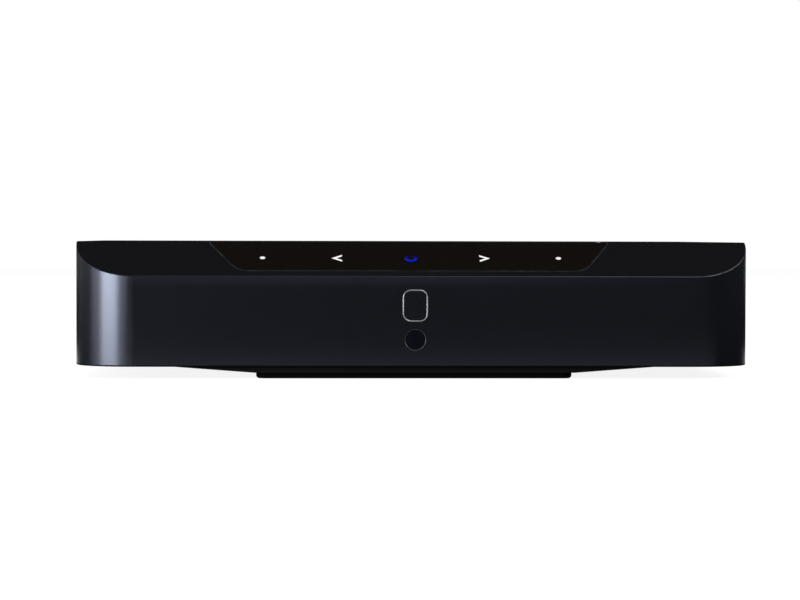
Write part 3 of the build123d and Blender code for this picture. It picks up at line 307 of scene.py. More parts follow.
    def effect(self, group: Tree, **inputs: object) -> bpy.types.NodeOutputs:
        """Places a shared effect.

        Args:
            group: the effect's node group.
            inputs: values or sockets, by the group's input names.

        Returns:
            The outputs of the placed group.
        """
        node = self.add("Group", node_tree=group)
        for name, value in inputs.items():
            self.put(node.inputs[name], value)
        return node.outputs

    def show(self, shader: bpy.types.Node) -> None:
        """Gives a shader to the material's output."""
        self.put(self.add("OutputMaterial").inputs["Surface"], shader.outputs[0])


def blank_material(name: str) -> tuple[bpy.types.Material, NodeSheet]:
    """Starts a material without any node.

    Args:
        name: the material's name.

    Returns:
        The material and the sheet of its nodes.
    """
    material = bpy.data.materials.new(name)
    material.use_nodes = True
    material.node_tree.nodes.clear()
    return material, NodeSheet(material.node_tree)


class Effects:
    """The effects that several finishes share, each a node group that is made on first use."""

    @staticmethod
    def group(
        name: str,
        inputs: dict[str, str],
        outputs: dict[str, str],
    ) -> tuple[Tree, bpy.types.NodeOutputs, bpy.types.NodeInputs]:
        """Starts a node group.

        Args:
            name: the group's name.
            inputs: socket kinds by name, Float or Vector.
            outputs: socket kinds by name.

        Returns:
            The group, the sockets that it reads and the sockets that it fills.
        """
        tree = bpy.data.node_groups.new(name, "ShaderNodeTree")
        for sockets, direction in ((inputs, "INPUT"), (outputs, "OUTPUT")):
            for label, kind in sockets.items():
                tree.interface.new_socket(name=label, in_out=direction, socket_type=f"NodeSocket{kind}")
        read = tree.nodes.new("NodeGroupInput").outputs
        filled = tree.nodes.new("NodeGroupOutput").inputs
        return tree, read, filled

    @staticmethod
    @cache
    def fine_grain() -> Tree:
        """Moulded, coated or cast grain: a tone near 1, a change of gloss and a height.

        Returns:
            The effect's node group.
        """
        cloud_cells, spot_cells = 0.031, 0.37
        inputs = {"Place": "Vector", "Cells": "Float", "Tone Spread": "Float", "Gloss Spread": "Float"}
        outputs = {"Tone": "Float", "Gloss": "Float", "Height": "Float"}
        tree, read, filled = Effects.group("fine_grain", inputs, outputs)
        sheet = NodeSheet(tree)
        fine = sheet.noise(read["Place"], read["Cells"], 3.0, 0.6)
        cloud = sheet.noise(read["Place"], sheet.product(read["Cells"], cloud_cells), 3.0)
        spots = sheet.noise(read["Place"], sheet.product(read["Cells"], spot_cells), 1.0)
        grain = sheet.calc("SUBTRACT", sheet.product(fine, 1.2), 0.6)
        drift = sheet.calc("SUBTRACT", sheet.product(cloud, 2.0), 1.0)
        change = sheet.product(sheet.calc("ADD", grain, drift), read["Tone Spread"])
        sheet.put(filled["Tone"], sheet.calc("ADD", change, 1.0))
        patch = sheet.calc("SUBTRACT", sheet.calc("ADD", cloud, spots), 1.0)
        sheet.put(filled["Gloss"], sheet.product(patch, read["Gloss Spread"]))
        sheet.put(filled["Height"], sheet.mix(0.3, fine, spots))
        return tree

    @staticmethod
    @cache
    def drawn_lines() -> Tree:
        """Lines of drawn, extruded or turned metal along the axis that Stretch squeezes least.

        Returns:
            The effect's node group.
        """
        bundle_lines = 0.17
        inputs = {"Place": "Vector", "Stretch": "Vector", "Tone Spread": "Float", "Gloss Spread": "Float"}
        outputs = {"Tone": "Float", "Gloss": "Float", "Height": "Float"}
        tree, read, filled = Effects.group("drawn_lines", inputs, outputs)
        sheet = NodeSheet(tree)
        stretched = sheet.scaled(read["Place"], read["Stretch"])
        lines = sheet.noise(stretched, 1.0, 4.0, 0.7)
        bundles = sheet.noise(stretched, bundle_lines, 2.0)
        swing = sheet.calc("SUBTRACT", sheet.calc("ADD", lines, bundles), 1.0)
        sheet.put(filled["Tone"], sheet.calc("ADD", sheet.product(swing, read["Tone Spread"]), 1.0))
        sheet.put(filled["Gloss"], sheet.product(swing, read["Gloss Spread"]))
        sheet.put(filled["Height"], lines)
        return tree

    @staticmethod
    @cache
    def handling() -> Tree:
        """Faint smears and settled dust: masks that are mostly 0.

        Returns:
            The effect's node group.
        """
        specks_to_smear, patches_to_smear = 60.0, 2.3
        inputs = {"Place": "Vector", "Size": "Float"}
        tree, read, filled = Effects.group("handling", inputs, {"Smear": "Float", "Dust": "Float"})
        sheet = NodeSheet(tree)
        density = sheet.calc("DIVIDE", 1.0, read["Size"])
        smear = sheet.noise(read["Place"], density, 4.0, 0.55)
        dust = sheet.noise(read["Place"], sheet.product(density, specks_to_smear), 2.0)
        sheet.put(filled["Smear"], sheet.remap(smear, 0.52, 0.72))
        specks = sheet.remap(dust, 0.66, 0.74)
        settled = sheet.noise(read["Place"], sheet.product(density, patches_to_smear), 2.0)
        sheet.put(filled["Dust"], sheet.product(specks, sheet.remap(settled, 0.4, 0.7)))
        return tree

    @staticmethod
    @cache
    def edge_wear_and_highlight() -> Tree:
        """A mask near the corners of the shape: edges that hands and cloths have polished, and edges given a
        painted highlight.

        Returns:
            The effect's node group.
        """
        inputs = {"Place": "Vector", "Reach": "Float", "Cells": "Float"}
        tree, read, filled = Effects.group("edge_wear_and_highlight", inputs, {"Wear And Highlight": "Float"})
        sheet = NodeSheet(tree)
        rounded = sheet.add("Bevel", samples=4)
        sheet.put(rounded.inputs["Radius"], read["Reach"])
        turned = sheet.add("VectorMath", operation="DOT_PRODUCT")
        sheet.put(turned.inputs[0], rounded.outputs[0])
        sheet.put(turned.inputs[1], sheet.add("NewGeometry").outputs["Normal"])
        edge = sheet.remap(turned.outputs["Value"], 0.90, 0.998, 1.0, 0.0)
        wear = sheet.noise(read["Place"], read["Cells"], 4.0, 0.6)
        sheet.put(filled["Wear And Highlight"], sheet.product(edge, sheet.remap(wear, 0.3, 0.7, 0.35, 1.0)))
        return tree

    @staticmethod
    @cache
    def wire_turns() -> Tree:
        """Turns of round wire side by side, counted by Count along a coordinate, with painted shade
        darkening the grooves between turns.

        Returns:
            The effect's node group.
        """
        varnish_cells = 900.0
        inputs = {"Place": "Vector", "Count": "Float"}
        tree, read, filled = Effects.group("wire_turns", inputs, {"Tone": "Float", "Height": "Float"})
        sheet = NodeSheet(tree)
        turn = sheet.calc("FRACT", read["Count"])
        across = sheet.calc("SUBTRACT", sheet.product(turn, 2.0), 1.0)
        fallen = sheet.calc("SUBTRACT", 1.0, sheet.product(across, across), clamp=True)
        round_top = sheet.calc("SQRT", fallen)
        varnish = sheet.noise(read["Place"], varnish_cells, 2.0)
        # painted shade: the tone falls towards the grooves between turns, where shade would fall
        tone = sheet.calc("ADD", sheet.product(round_top, 0.75), sheet.product(varnish, 0.5))
        sheet.put(filled["Tone"], tone)
        sheet.put(filled["Height"], round_top)
        return tree


@dataclass
class Look:
    """What a finish hands to its shader: sockets, or constants where nothing changes."""

    color: object
    roughness: object
    metallic: object
    height: Socket
    glow: Socket | None = None


@dataclass(frozen=True)
class Accent:
    """A second colour and gloss on the stretch of a piece between two levels of an axis.

    Args:
        axis: the axis along which the levels lie.
        low: lower level, in metres.
        high: upper level, in metres.
        color: colour between the levels.
        roughness: roughness between the levels.
        metallic: whether the stretch is metal.
        on_top: whether only what faces up is covered.
    """

    soft: ClassVar[float] = 0.03 * MM

    axis: Axis
    low: float
    high: float
    color: Colour
    roughness: float
    metallic: float = 0.0
    on_top: bool = False

    def mask(self, sheet: NodeSheet, place: Socket) -> Socket:
        """The accent's mask on a position.

        Args:
            sheet: the material's sheet.
            place: position on the piece.

        Returns:
            The mask's socket.
        """
        mask = sheet.band(sheet.along(place, self.axis), self.low, self.high, self.soft)
        if self.on_top:
            mask = sheet.product(mask, sheet.remap(sheet.upward(), 0.85, 0.97))
        return mask


@dataclass(frozen=True)
class Finish:
    """A grained finish of plastic, paint, rubber or stone-like stuff.

    Args:
        name: the material's name.
        color: base colour.
        roughness: mean roughness.
        grain: width of one grain, in metres.
        relief: depth of the grain, in metres.
        tone_spread: how far the tone swings about 1.
        gloss_spread: how far the roughness swings.
        metallic: 1 for bare metal.
        specular: strength of the mirror part.
        tint: colour of the mirror part.
        coat: weight of a clear layer on top.
        smears: how much fingers and dust dull the surface.
        wear_and_highlight_reach: reach of the lighter, glossier edges, in metres, or 0: worn edges, and on
            the shell and lens a painted highlight.
        wear_and_highlight_color: colour of those edges.
        accents: stretches with another colour.
    """

    smear_size: ClassVar[float] = 18.0 * MM
    smear_haze: ClassVar[float] = 0.16
    dust_haze: ClassVar[float] = 0.5
    dust_lift: ClassVar[float] = 2.0
    wear_and_highlight_cells: ClassVar[float] = 220.0
    wear_and_highlight_gloss: ClassVar[float] = 0.14
    coat_roughness: ClassVar[float] = 0.05

    name: str
    color: Colour
    roughness: float
    grain: float = 0.35 * MM
    relief: float = 0.006 * MM
    tone_spread: float = 0.10
    gloss_spread: float = 0.06
    metallic: float = 0.0
    specular: float = 0.5
    tint: Colour = (1.0, 1.0, 1.0)
    coat: float = 0.0
    smears: float = 0.0
    wear_and_highlight_reach: float = 0.0
    wear_and_highlight_color: Colour = (0.03, 0.03, 0.032)
    accents: tuple[Accent, ...] = ()

    def grained(
        self,
        sheet: NodeSheet,
        place: Socket,
        tone_spread: float,
        gloss_spread: float,
        share: float = 1.0,
    ) -> bpy.types.NodeOutputs:
        """Places the shared grain.

        Args:
            sheet: the material's sheet.
            place: position on the piece.
            tone_spread: how far its tone swings.
            gloss_spread: how far its gloss swings.
            share: its width, as a share of the finish's grain.

        Returns:
            The grain's tone, gloss and height.
        """
        spreads = {"Tone Spread": tone_spread, "Gloss Spread": gloss_spread}
        return sheet.effect(Effects.fine_grain(), Place=place, Cells=1.0 / (share * self.grain), **spreads)

    def look(self, sheet: NodeSheet, place: Socket) -> Look:
        """The finish's own pattern.

        Args:
            sheet: the material's sheet.
            place: position on the piece.

        Returns:
            What goes to the shader, before accents, smears and rubbed edges.
        """
        grain = self.grained(sheet, place, self.tone_spread, self.gloss_spread)
        return Look(
            color=sheet.shade(self.color, grain["Tone"]),
            roughness=sheet.calc("ADD", grain["Gloss"], self.roughness),
            metallic=self.metallic,
            height=grain["Height"],
        )

    def with_accents(self, sheet: NodeSheet, place: Socket, look: Look) -> Look:
        """Lays the finish's accents over a look.

        Args:
            sheet: the material's sheet.
            place: position on the piece.
            look: the look so far.

        Returns:
            The same look, changed.
        """
        for accent in self.accents:
            mask = accent.mask(sheet, place)
            tone = self.grained(sheet, place, self.tone_spread, 0.0)["Tone"]
            look.color = sheet.mix(mask, look.color, sheet.shade(accent.color, tone), colour=True)
            look.roughness = sheet.mix(mask, look.roughness, accent.roughness)
            if accent.metallic != self.metallic:
                look.metallic = sheet.mix(mask, look.metallic, accent.metallic)
        return look

    def worn_and_highlit_where(self, sheet: NodeSheet, place: Socket, worn_and_highlit: Socket) -> Socket:
        """Lets a finish keep the worn and highlighted edges off a part of its piece."""
        return worn_and_highlit

    def with_wear_and_highlights(self, sheet: NodeSheet, place: Socket, look: Look) -> Look:
        """Dulls a look with smears and dust, and polishes and lightens its edges: wear, and on the shell and
        lens a painted highlight.

        Args:
            sheet: the material's sheet.
            place: position on the piece.
            look: the look so far.

        Returns:
            The same look, changed.
        """
        if self.smears:
            marks = sheet.effect(Effects.handling(), Place=place, Size=self.smear_size)
            smear = sheet.product(marks["Smear"], self.smear_haze * self.smears)
            dust = sheet.product(marks["Dust"], self.dust_haze * self.smears)
            look.roughness = sheet.calc("ADD", look.roughness, sheet.calc("ADD", smear, dust))
            look.color = sheet.shade(look.color, sheet.calc("ADD", sheet.product(dust, self.dust_lift), 1.0))
        if self.wear_and_highlight_reach:
            worn_and_highlit = sheet.effect(Effects.edge_wear_and_highlight(), Place=place, Reach=self.wear_and_highlight_reach, Cells=self.wear_and_highlight_cells)["Wear And Highlight"]
            worn_and_highlit = self.worn_and_highlit_where(sheet, place, worn_and_highlit)
            look.roughness = sheet.calc("SUBTRACT", look.roughness, sheet.product(worn_and_highlit, self.wear_and_highlight_gloss))
            # lighter edge colour: worn edges, and on the shell and lens a painted highlight along the edges
            look.color = sheet.mix(worn_and_highlit, look.color, self.wear_and_highlight_color, colour=True)
        return look

    def make(self) -> bpy.types.Material:
        """Builds the material.

        Returns:
            The finished material.
        """
        material, sheet = blank_material(self.name)
        shader = sheet.add("BsdfPrincipled")
        sheet.show(shader)
        place = sheet.place()
        look = self.with_wear_and_highlights(sheet, place, self.with_accents(sheet, place, self.look(sheet, place)))
        sheet.put(shader.inputs["Base Color"], look.color)
        sheet.put(shader.inputs["Roughness"], look.roughness)
        sheet.put(shader.inputs["Metallic"], look.metallic)
        sheet.put(shader.inputs["Specular IOR Level"], self.specular)
        sheet.put(shader.inputs["Specular Tint"], self.tint)
        sheet.put(shader.inputs["Coat Weight"], self.coat)
        sheet.put(shader.inputs["Coat Roughness"], self.coat_roughness)
        sheet.put(shader.inputs["Normal"], sheet.relief(look.height, self.relief))
        if look.glow is not None:
            sheet.put(shader.inputs["Emission Color"], look.glow)
            sheet.put(shader.inputs["Emission Strength"], 1.0)
        material.diffuse_color = (*self.color, 1.0)
        return material


@dataclass(frozen=True)
class ShellFinish(Finish):
    """The shell's moulding: a matte deck and slope over satin sides, with a painted sheen under the crease.

    Args:
        top_color: colour of the deck and the slope.
        top_roughness: their roughness.
        painted_sheen_color: colour of a painted sheen just under the crease, a lighter band that stands in
            for light caught where the front would roll back.
        painted_sheen_top: level of the crease, in metres.
        painted_sheen_reach: how far down from it the painted sheen goes.
        painted_sheen_middle: middle of the painted sheen, in metres along X.
        painted_sheen_half: how far from its middle it has faded out.
    """

    top_grain: ClassVar[float] = 0.6
    top_spreads: ClassVar[tuple[float, float]] = (0.06, 0.04)
    side_relief: ClassVar[float] = 0.5
    painted_sheen_full: ClassVar[float] = 0.15

    top_color: Colour = (0.0029, 0.0025, 0.0024)
    top_roughness: float = 0.46
    painted_sheen_color: Colour = (0.0050, 0.0065, 0.0100)
    painted_sheen_top: float = 0.0
    painted_sheen_reach: float = 4.4 * MM
    painted_sheen_middle: float = -25.0 * MM
    painted_sheen_half: float = 125.0 * MM

    def look(self, sheet: NodeSheet, place: Socket) -> Look:
        """Satin grain on the sides with a painted sheen under the crease, and a matte, warmer grain on what
        faces up.

        Args:
            sheet: the material's sheet.
            place: position on the piece.

        Returns:
            The look, before accents, smears and rubbed edges.
        """
        look = super().look(sheet, place)
        # painted sheen: the colour lightens under the crease and fades out to the sides, standing in for
        # light on the front
        rise = sheet.remap(sheet.along(place, Axis.Z), self.painted_sheen_top - self.painted_sheen_reach, self.painted_sheen_top)
        aside = sheet.calc("ABSOLUTE", sheet.calc("SUBTRACT", sheet.along(place, Axis.X), self.painted_sheen_middle))
        fade = sheet.remap(aside, self.painted_sheen_full * self.painted_sheen_half, self.painted_sheen_half, 1.0, 0.0)
        look.color = sheet.mix(sheet.product(rise, fade), look.color, self.painted_sheen_color, colour=True)
        matte = sheet.remap(sheet.upward(), 0.30, 0.62)
        grain = self.grained(sheet, place, *self.top_spreads, share=self.top_grain)
        top_roughness = sheet.calc("ADD", grain["Gloss"], self.top_roughness)
        top_color = sheet.shade(self.top_color, grain["Tone"])
        look.color = sheet.mix(matte, look.color, top_color, colour=True)
        look.roughness = sheet.mix(matte, look.roughness, top_roughness)
        look.height = sheet.mix(matte, sheet.product(look.height, self.side_relief), grain["Height"])
        return look


@dataclass(frozen=True)
class LensFinish(Finish):
    """Smoked gloss whose outer edge has a painted highlight, a fine pale line.

    Args:
        keep_low: lower corner of the stretch round the symbols, in X and Y, whose edges stay dark.
        keep_high: its upper corner.
        flat_haze: roughness that is added where the lens lies flat.
    """

    keep_soft: ClassVar[float] = 0.2 * MM

    keep_low: tuple[float, float] = (0.0, 0.0)
    keep_high: tuple[float, float] = (0.0, 0.0)
    flat_haze: float = 0.22

    def look(self, sheet: NodeSheet, place: Socket) -> Look:
        """Gloss on the slope, and more haze where the lens lies flat.

        Args:
            sheet: the material's sheet.
            place: position on the piece.

        Returns:
            The look, before accents, smears and rubbed edges.
        """
        look = super().look(sheet, place)
        flat = sheet.remap(sheet.upward(), 0.90, 0.985, 0.0, self.flat_haze)
        look.roughness = sheet.calc("ADD", look.roughness, flat)
        return look

    def worn_and_highlit_where(self, sheet: NodeSheet, place: Socket, worn_and_highlit: Socket) -> Socket:
        """Keeps the painted highlight line off the symbols' openings.

        Args:
            sheet: the material's sheet.
            place: position on the piece.
            worn_and_highlit: mask of the edges with painted highlight.

        Returns:
            The mask that is left.
        """
        inside = [
            sheet.band(sheet.along(place, axis), low, high, self.keep_soft)
            for axis, low, high in zip((Axis.X, Axis.Y), self.keep_low, self.keep_high)
        ]
        return sheet.product(worn_and_highlit, sheet.calc("SUBTRACT", 1.0, sheet.product(*inside)))


@dataclass(frozen=True)
class GlowFinish(Finish):
    """A printed symbol with a lamp behind it, dimmer where the light falls off.

    Args:
        lit_color: colour of the light.
        far_color: colour at the far end of the fall.
        near: level along Y where the full colour starts, in metres.
        far: level along Y where the far colour is reached, in metres.
        dots: middles of the round symbols, along X, whose lamps leave a dark rim.
        dot_level: where those middles lie along Y.
        dot_radius: radius of their lit part.
        lean: how much the slope that they lie on shortens them along Y.
    """

    rim_soft: ClassVar[float] = 0.05 * MM
    rim_out: ClassVar[float] = 2.5
    haze_cells: ClassVar[float] = 700.0

    lit_color: Colour = (1.0, 1.0, 1.0)
    far_color: Colour = (0.80, 0.80, 0.80)
    near: float = 0.0
    far: float = 1.0
    dots: tuple[float, ...] = ()
    dot_level: float = 0.0
    dot_radius: float = 0.86 * MM
    lean: float = 0.875

    def rim(self, sheet: NodeSheet, place: Socket, middle: float) -> Socket:
        """1 on the unlit rim of one round symbol.

        Args:
            sheet: the material's sheet.
            place: position on the piece.
            middle: the symbol's middle, in metres along X.

        Returns:
            The mask's socket.
        """
        centre = Vector((middle, self.dot_level, 0.0))
        spot = sheet.add("VectorMath", operation="LENGTH")
        sheet.put(spot.inputs[0], sheet.scaled(place, (1.0, 1.0 / self.lean, 0.0), centre))
        outer = self.rim_out * self.dot_radius
        return sheet.band(spot.outputs["Value"], self.dot_radius, outer, self.rim_soft)

    def look(self, sheet: NodeSheet, place: Socket) -> Look:
        """A lit colour that falls to the far colour, over milky grain.

        Args:
            sheet: the material's sheet.
            place: position on the piece.

        Returns:
            The look, before accents, smears and rubbed edges.
        """
        look = super().look(sheet, place)
        fall = sheet.remap(sheet.along(place, Axis.Y), self.near, self.far)
        lit = sheet.mix(fall, self.lit_color, self.far_color, colour=True)
        for middle in self.dots:
            lit = sheet.mix(self.rim(sheet, place, middle), lit, self.color, colour=True)
        haze = sheet.remap(sheet.noise(place, self.haze_cells, 1.0), 0.2, 0.8, 0.97, 1.03)
        look.glow = sheet.shade(lit, haze)
        return look


@dataclass(frozen=True)
class DrawnFinish(Finish):
    """Bare metal with fine lines.

    Args:
        run: the axis that extruded or rolled lines follow, or that turned lines go round.
        turned: whether the lines go round the axis.
        line: width of one line, in metres.
    """

    length: ClassVar[float] = 50.0

    run: Axis = Axis.X
    turned: bool = False
    line: float = 0.12 * MM

    def look(self, sheet: NodeSheet, place: Socket) -> Look:
        """Fine lines along or round the run, each length times as long as it is wide.

        Args:
            sheet: the material's sheet.
            place: position on the piece.

        Returns:
            The look, before accents, smears and rubbed edges.
        """
        slow, fast = 1.0 / self.length / self.line, 1.0 / self.line
        stretch = [slow if self.turned else fast] * 3
        stretch[self.run.value] = fast if self.turned else slow
        spreads = {"Tone Spread": self.tone_spread, "Gloss Spread": self.gloss_spread}
        lines = sheet.effect(Effects.drawn_lines(), Place=place, Stretch=tuple(stretch), **spreads)
        return Look(
            color=sheet.shade(self.color, lines["Tone"]),
            roughness=sheet.calc("ADD", lines["Gloss"], self.roughness),
            metallic=self.metallic,
            height=lines["Height"],
        )


@dataclass(frozen=True)
class BoardFinish(Finish):
    """Solder mask over copper tracks, with plated holes.

    Args:
        track_color: colour of the mask over copper.
        pad_color: colour of the bare plated rings.
        pitch: spacing of the tracks, in metres.
    """

    run_cells: ClassVar[float] = 0.28
    run_stretch: ClassVar[tuple[float, float, float]] = (1.0, 2.4, 1.0)
    tracks_to_run: ClassVar[float] = 7.0
    hole_cells: ClassVar[float] = 0.8
    pad_roughness: ClassVar[float] = 0.3

    track_color: Colour = (0.035, 0.17, 0.075)
    pad_color: Colour = (0.62, 0.60, 0.52)
    pitch: float = 2.2 * MM

    def look(self, sheet: NodeSheet, place: Socket) -> Look:
        """Tracks in straight runs and a scatter of plated holes.

        Args:
            sheet: the material's sheet.
            place: position on the piece.

        Returns:
            The look, before accents, smears and rubbed edges.
        """
        look = super().look(sheet, place)
        cells = sheet.add("TexVoronoi", distance="CHEBYCHEV", feature="DISTANCE_TO_EDGE")
        sheet.put(cells.inputs["Vector"], sheet.scaled(place, self.run_stretch))
        sheet.put(cells.inputs["Scale"], self.run_cells / self.pitch)
        steps = sheet.calc("FRACT", sheet.product(cells.outputs["Distance"], self.tracks_to_run))
        track = sheet.band(steps, 0.30, 0.62, 0.05)
        holes = sheet.add("TexVoronoi")
        sheet.put(holes.inputs["Vector"], place)
        sheet.put(holes.inputs["Scale"], self.hole_cells / self.pitch)
        ring = sheet.remap(holes.outputs["Distance"], 0.13, 0.16, 1.0, 0.0)
        look.color = sheet.mix(track, look.color, self.track_color, colour=True)
        look.color = sheet.mix(ring, look.color, self.pad_color, colour=True)
        look.roughness = sheet.mix(ring, look.roughness, self.pad_roughness)
        look.metallic = ring
        look.height = sheet.calc("MAXIMUM", track, ring)
        return look


@dataclass(frozen=True)
class WoundFinish(Finish):
    """Enamelled wire in turns side by side.

    Args:
        wire: spacing of the turns, in metres.
        centre: a point on the winding's axis, where the turns go through a ring.
        around: whether the turns go through a ring that lies flat, and not up a post.
        ring_turns: number of turns through such a ring.
    """

    gap_haze: ClassVar[float] = 0.3

    wire: float = 0.7 * MM
    centre: tuple[float, float, float] = (0.0, 0.0, 0.0)
    around: bool = False
    ring_turns: int = 26

    def look(self, sheet: NodeSheet, place: Socket) -> Look:
        """Rounded turns with varnish between them, and painted shade darkening the grooves.

        Args:
            sheet: the material's sheet.
            place: position on the piece.

        Returns:
            The look, before accents, smears and rubbed edges.
        """
        if self.around:
            spot = sheet.scaled(place, (1.0, 1.0, 1.0), Vector(self.centre))
            angle = sheet.calc("ARCTAN2", sheet.along(spot, Axis.Y), sheet.along(spot, Axis.X))
            count = sheet.product(angle, self.ring_turns / math.tau)
        else:
            count = sheet.calc("DIVIDE", sheet.along(place, Axis.Z), self.wire)
        turns = sheet.effect(Effects.wire_turns(), Place=place, Count=count)
        between = self.roughness + self.gap_haze
        return Look(
            color=sheet.shade(self.color, turns["Tone"]),
            roughness=sheet.remap(turns["Height"], 0.0, 1.0, between, self.roughness),
            metallic=self.metallic,
            height=turns["Height"],
        )


@dataclass(frozen=True)
class CableFinish(Finish):
    """A flat cable or film: stripes that run along one axis.

    Args:
        across: the axis that the stripes are counted along.
        pitch: spacing of the stripes, in metres.
        stripe: colour of a conductor seen through the film.
    """

    across: Axis = Axis.X
    pitch: float = 1.0 * MM
    stripe: Colour = (0.42, 0.43, 0.46)

    def look(self, sheet: NodeSheet, place: Socket) -> Look:
        """Conductors under the film.

        Args:
            sheet: the material's sheet.
            place: position on the piece.

        Returns:
            The look, before accents, smears and rubbed edges.
        """
        look = super().look(sheet, place)
        turn = sheet.calc("FRACT", sheet.calc("DIVIDE", sheet.along(place, self.across), self.pitch))
        conductor = sheet.band(turn, 0.25, 0.75, 0.06)
        look.color = sheet.mix(conductor, look.color, self.stripe, colour=True)
        look.height = conductor
        return look


class Bench:
    """Work on one new mesh at a time with Blender's own operators."""

    merge_reach: ClassVar[float] = 0.001 * MM
    bevel_angle: ClassVar[float] = math.radians(40)
    smooth_angle: ClassVar[float] = math.radians(35)

    @staticmethod
    def begin(name: str, scale: tuple[float, float, float] = (1.0, 1.0, 1.0)) -> Piece:
        """Names the primitive that was just added, applies its place and opens it for editing.

        Args:
            name: the piece's name.
            scale: how much the primitive is stretched first, along its own axes.

        Returns:
            The object, in edit mode with all of it selected.
        """
        piece = bpy.context.object
        piece.scale = scale
        piece.name = name
        piece.data.name = name
        bpy.ops.object.transform_apply(location=True, rotation=True, scale=True)
        bpy.ops.object.mode_set(mode="EDIT")
        bpy.ops.mesh.select_all(action="SELECT")
        return piece

    @staticmethod
    def clear() -> None:
        """Leaves edit mode and deselects everything."""
        if bpy.context.object is not None and bpy.context.object.mode != "OBJECT":
            bpy.ops.object.mode_set(mode="OBJECT")
        bpy.ops.object.select_all(action="DESELECT")

    @staticmethod
    def pick_faces(piece: Piece, wanted: Callable[[bmesh.types.BMFace], bool]) -> None:
        """Selects the faces that a test wants, and no others.

        Args:
            piece: the object that is open for editing.
            wanted: the test.
        """
        bpy.ops.mesh.select_mode(type="FACE")
        bpy.ops.mesh.select_all(action="DESELECT")
        mesh = bmesh.from_edit_mesh(piece.data)
        for face in mesh.faces:
            face.select_set(wanted(face))
        bmesh.update_edit_mesh(piece.data)

    @staticmethod
    def modify(piece: Piece, kind: str, **settings: object) -> None:
        """Adds a modifier and applies it.

        Args:
            piece: the object, in object mode.
            kind: the modifier's type.
            settings: its properties.
        """
        modifier = piece.modifiers.new(kind.lower(), kind)
        for name, value in settings.items():
            setattr(modifier, name, value)
        bpy.context.view_layer.objects.active = piece
        bpy.ops.object.modifier_apply(modifier=modifier.name)

    @staticmethod
    def close(piece: Piece, edge: float = 0.0) -> Piece:
        """Merges doubles, turns the faces outwards, rounds the edges and shades the piece.

        Args:
            piece: the object that is open for editing.
            edge: width of the rounded edges, in metres, or 0.

        Returns:
            The finished object, in object mode.
        """
        bpy.ops.mesh.select_all(action="SELECT")
        bpy.ops.mesh.remove_doubles(threshold=Bench.merge_reach)
        bpy.ops.mesh.normals_make_consistent(inside=False)
        bpy.ops.object.mode_set(mode="OBJECT")
        if edge:
            limit = {"limit_method": "ANGLE", "angle_limit": Bench.bevel_angle}
            Bench.modify(piece, "BEVEL", width=edge, segments=2, **limit)
        bpy.ops.object.shade_smooth_by_angle(angle=Bench.smooth_angle)
        return piece

    @staticmethod
    def copies(piece: Piece, moves: list[Vector]) -> Piece:
        """Joins moved copies of a piece to it.

        Args:
            piece: the piece that is modelled once.
            moves: where each copy lies, from the piece.

        Returns:
            The piece with its copies.
        """
        made = [piece]
        for move in moves:
            copy = piece.copy()
            copy.data = piece.data.copy()
            bpy.context.scene.collection.objects.link(copy)
            copy.location = move
            made.append(copy)
        return Bench.join(made)

    @staticmethod
    def join(pieces: list[Piece]) -> Piece:
        """Joins pieces to the first of them, and returns it with its place in its mesh.

        Args:
            pieces: the pieces, in object mode.

        Returns:
            The first piece, with its place in its mesh.
        """
        Bench.clear()
        for piece in pieces:
            piece.select_set(True)
        bpy.context.view_layer.objects.active = pieces[0]
        bpy.ops.object.join()
        bpy.ops.object.transform_apply(location=True, rotation=True, scale=True)
        return pieces[0]


def finish_piece(
    piece: Piece,
    finish: Finish,
    replaced: tuple[str, ...] = (),
    body: str = "root",
) -> None:
    """Dresses a new piece and hangs it on its body.

    Args:
        piece: the new object.
        finish: its finish.
        replaced: CAD nodes that it stands for.
        body: the CAD body that carries it.
    """
    piece.data.materials.clear()
    piece.data.materials.append(finish.make())
    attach(piece, body)
    if replaced:
        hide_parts(*replaced)
    log.info("made %s with %d faces, on %s", piece.name, len(piece.data.polygons), body)


class SubAssembly:
    """A group of pieces that are made and finished together."""

    def finishes(self) -> dict[str, Finish]:
        """The finish of each CAD node of the group."""
        return {}

    def model(self) -> None:
        """Makes the group's new pieces; a group with none keeps this."""

    def build(self) -> None:
        """Makes the new pieces and dresses the CAD nodes."""
        self.model()
        made: dict[Finish, bpy.types.Material] = {}
        for node, finish in self.finishes().items():
            if finish not in made:
                made[finish] = finish.make()
            mesh = frame["nodes"][node].data
            mesh.materials.clear()
            mesh.materials.append(made[finish])
            log.info("dressed %s in %s", node, finish.name)


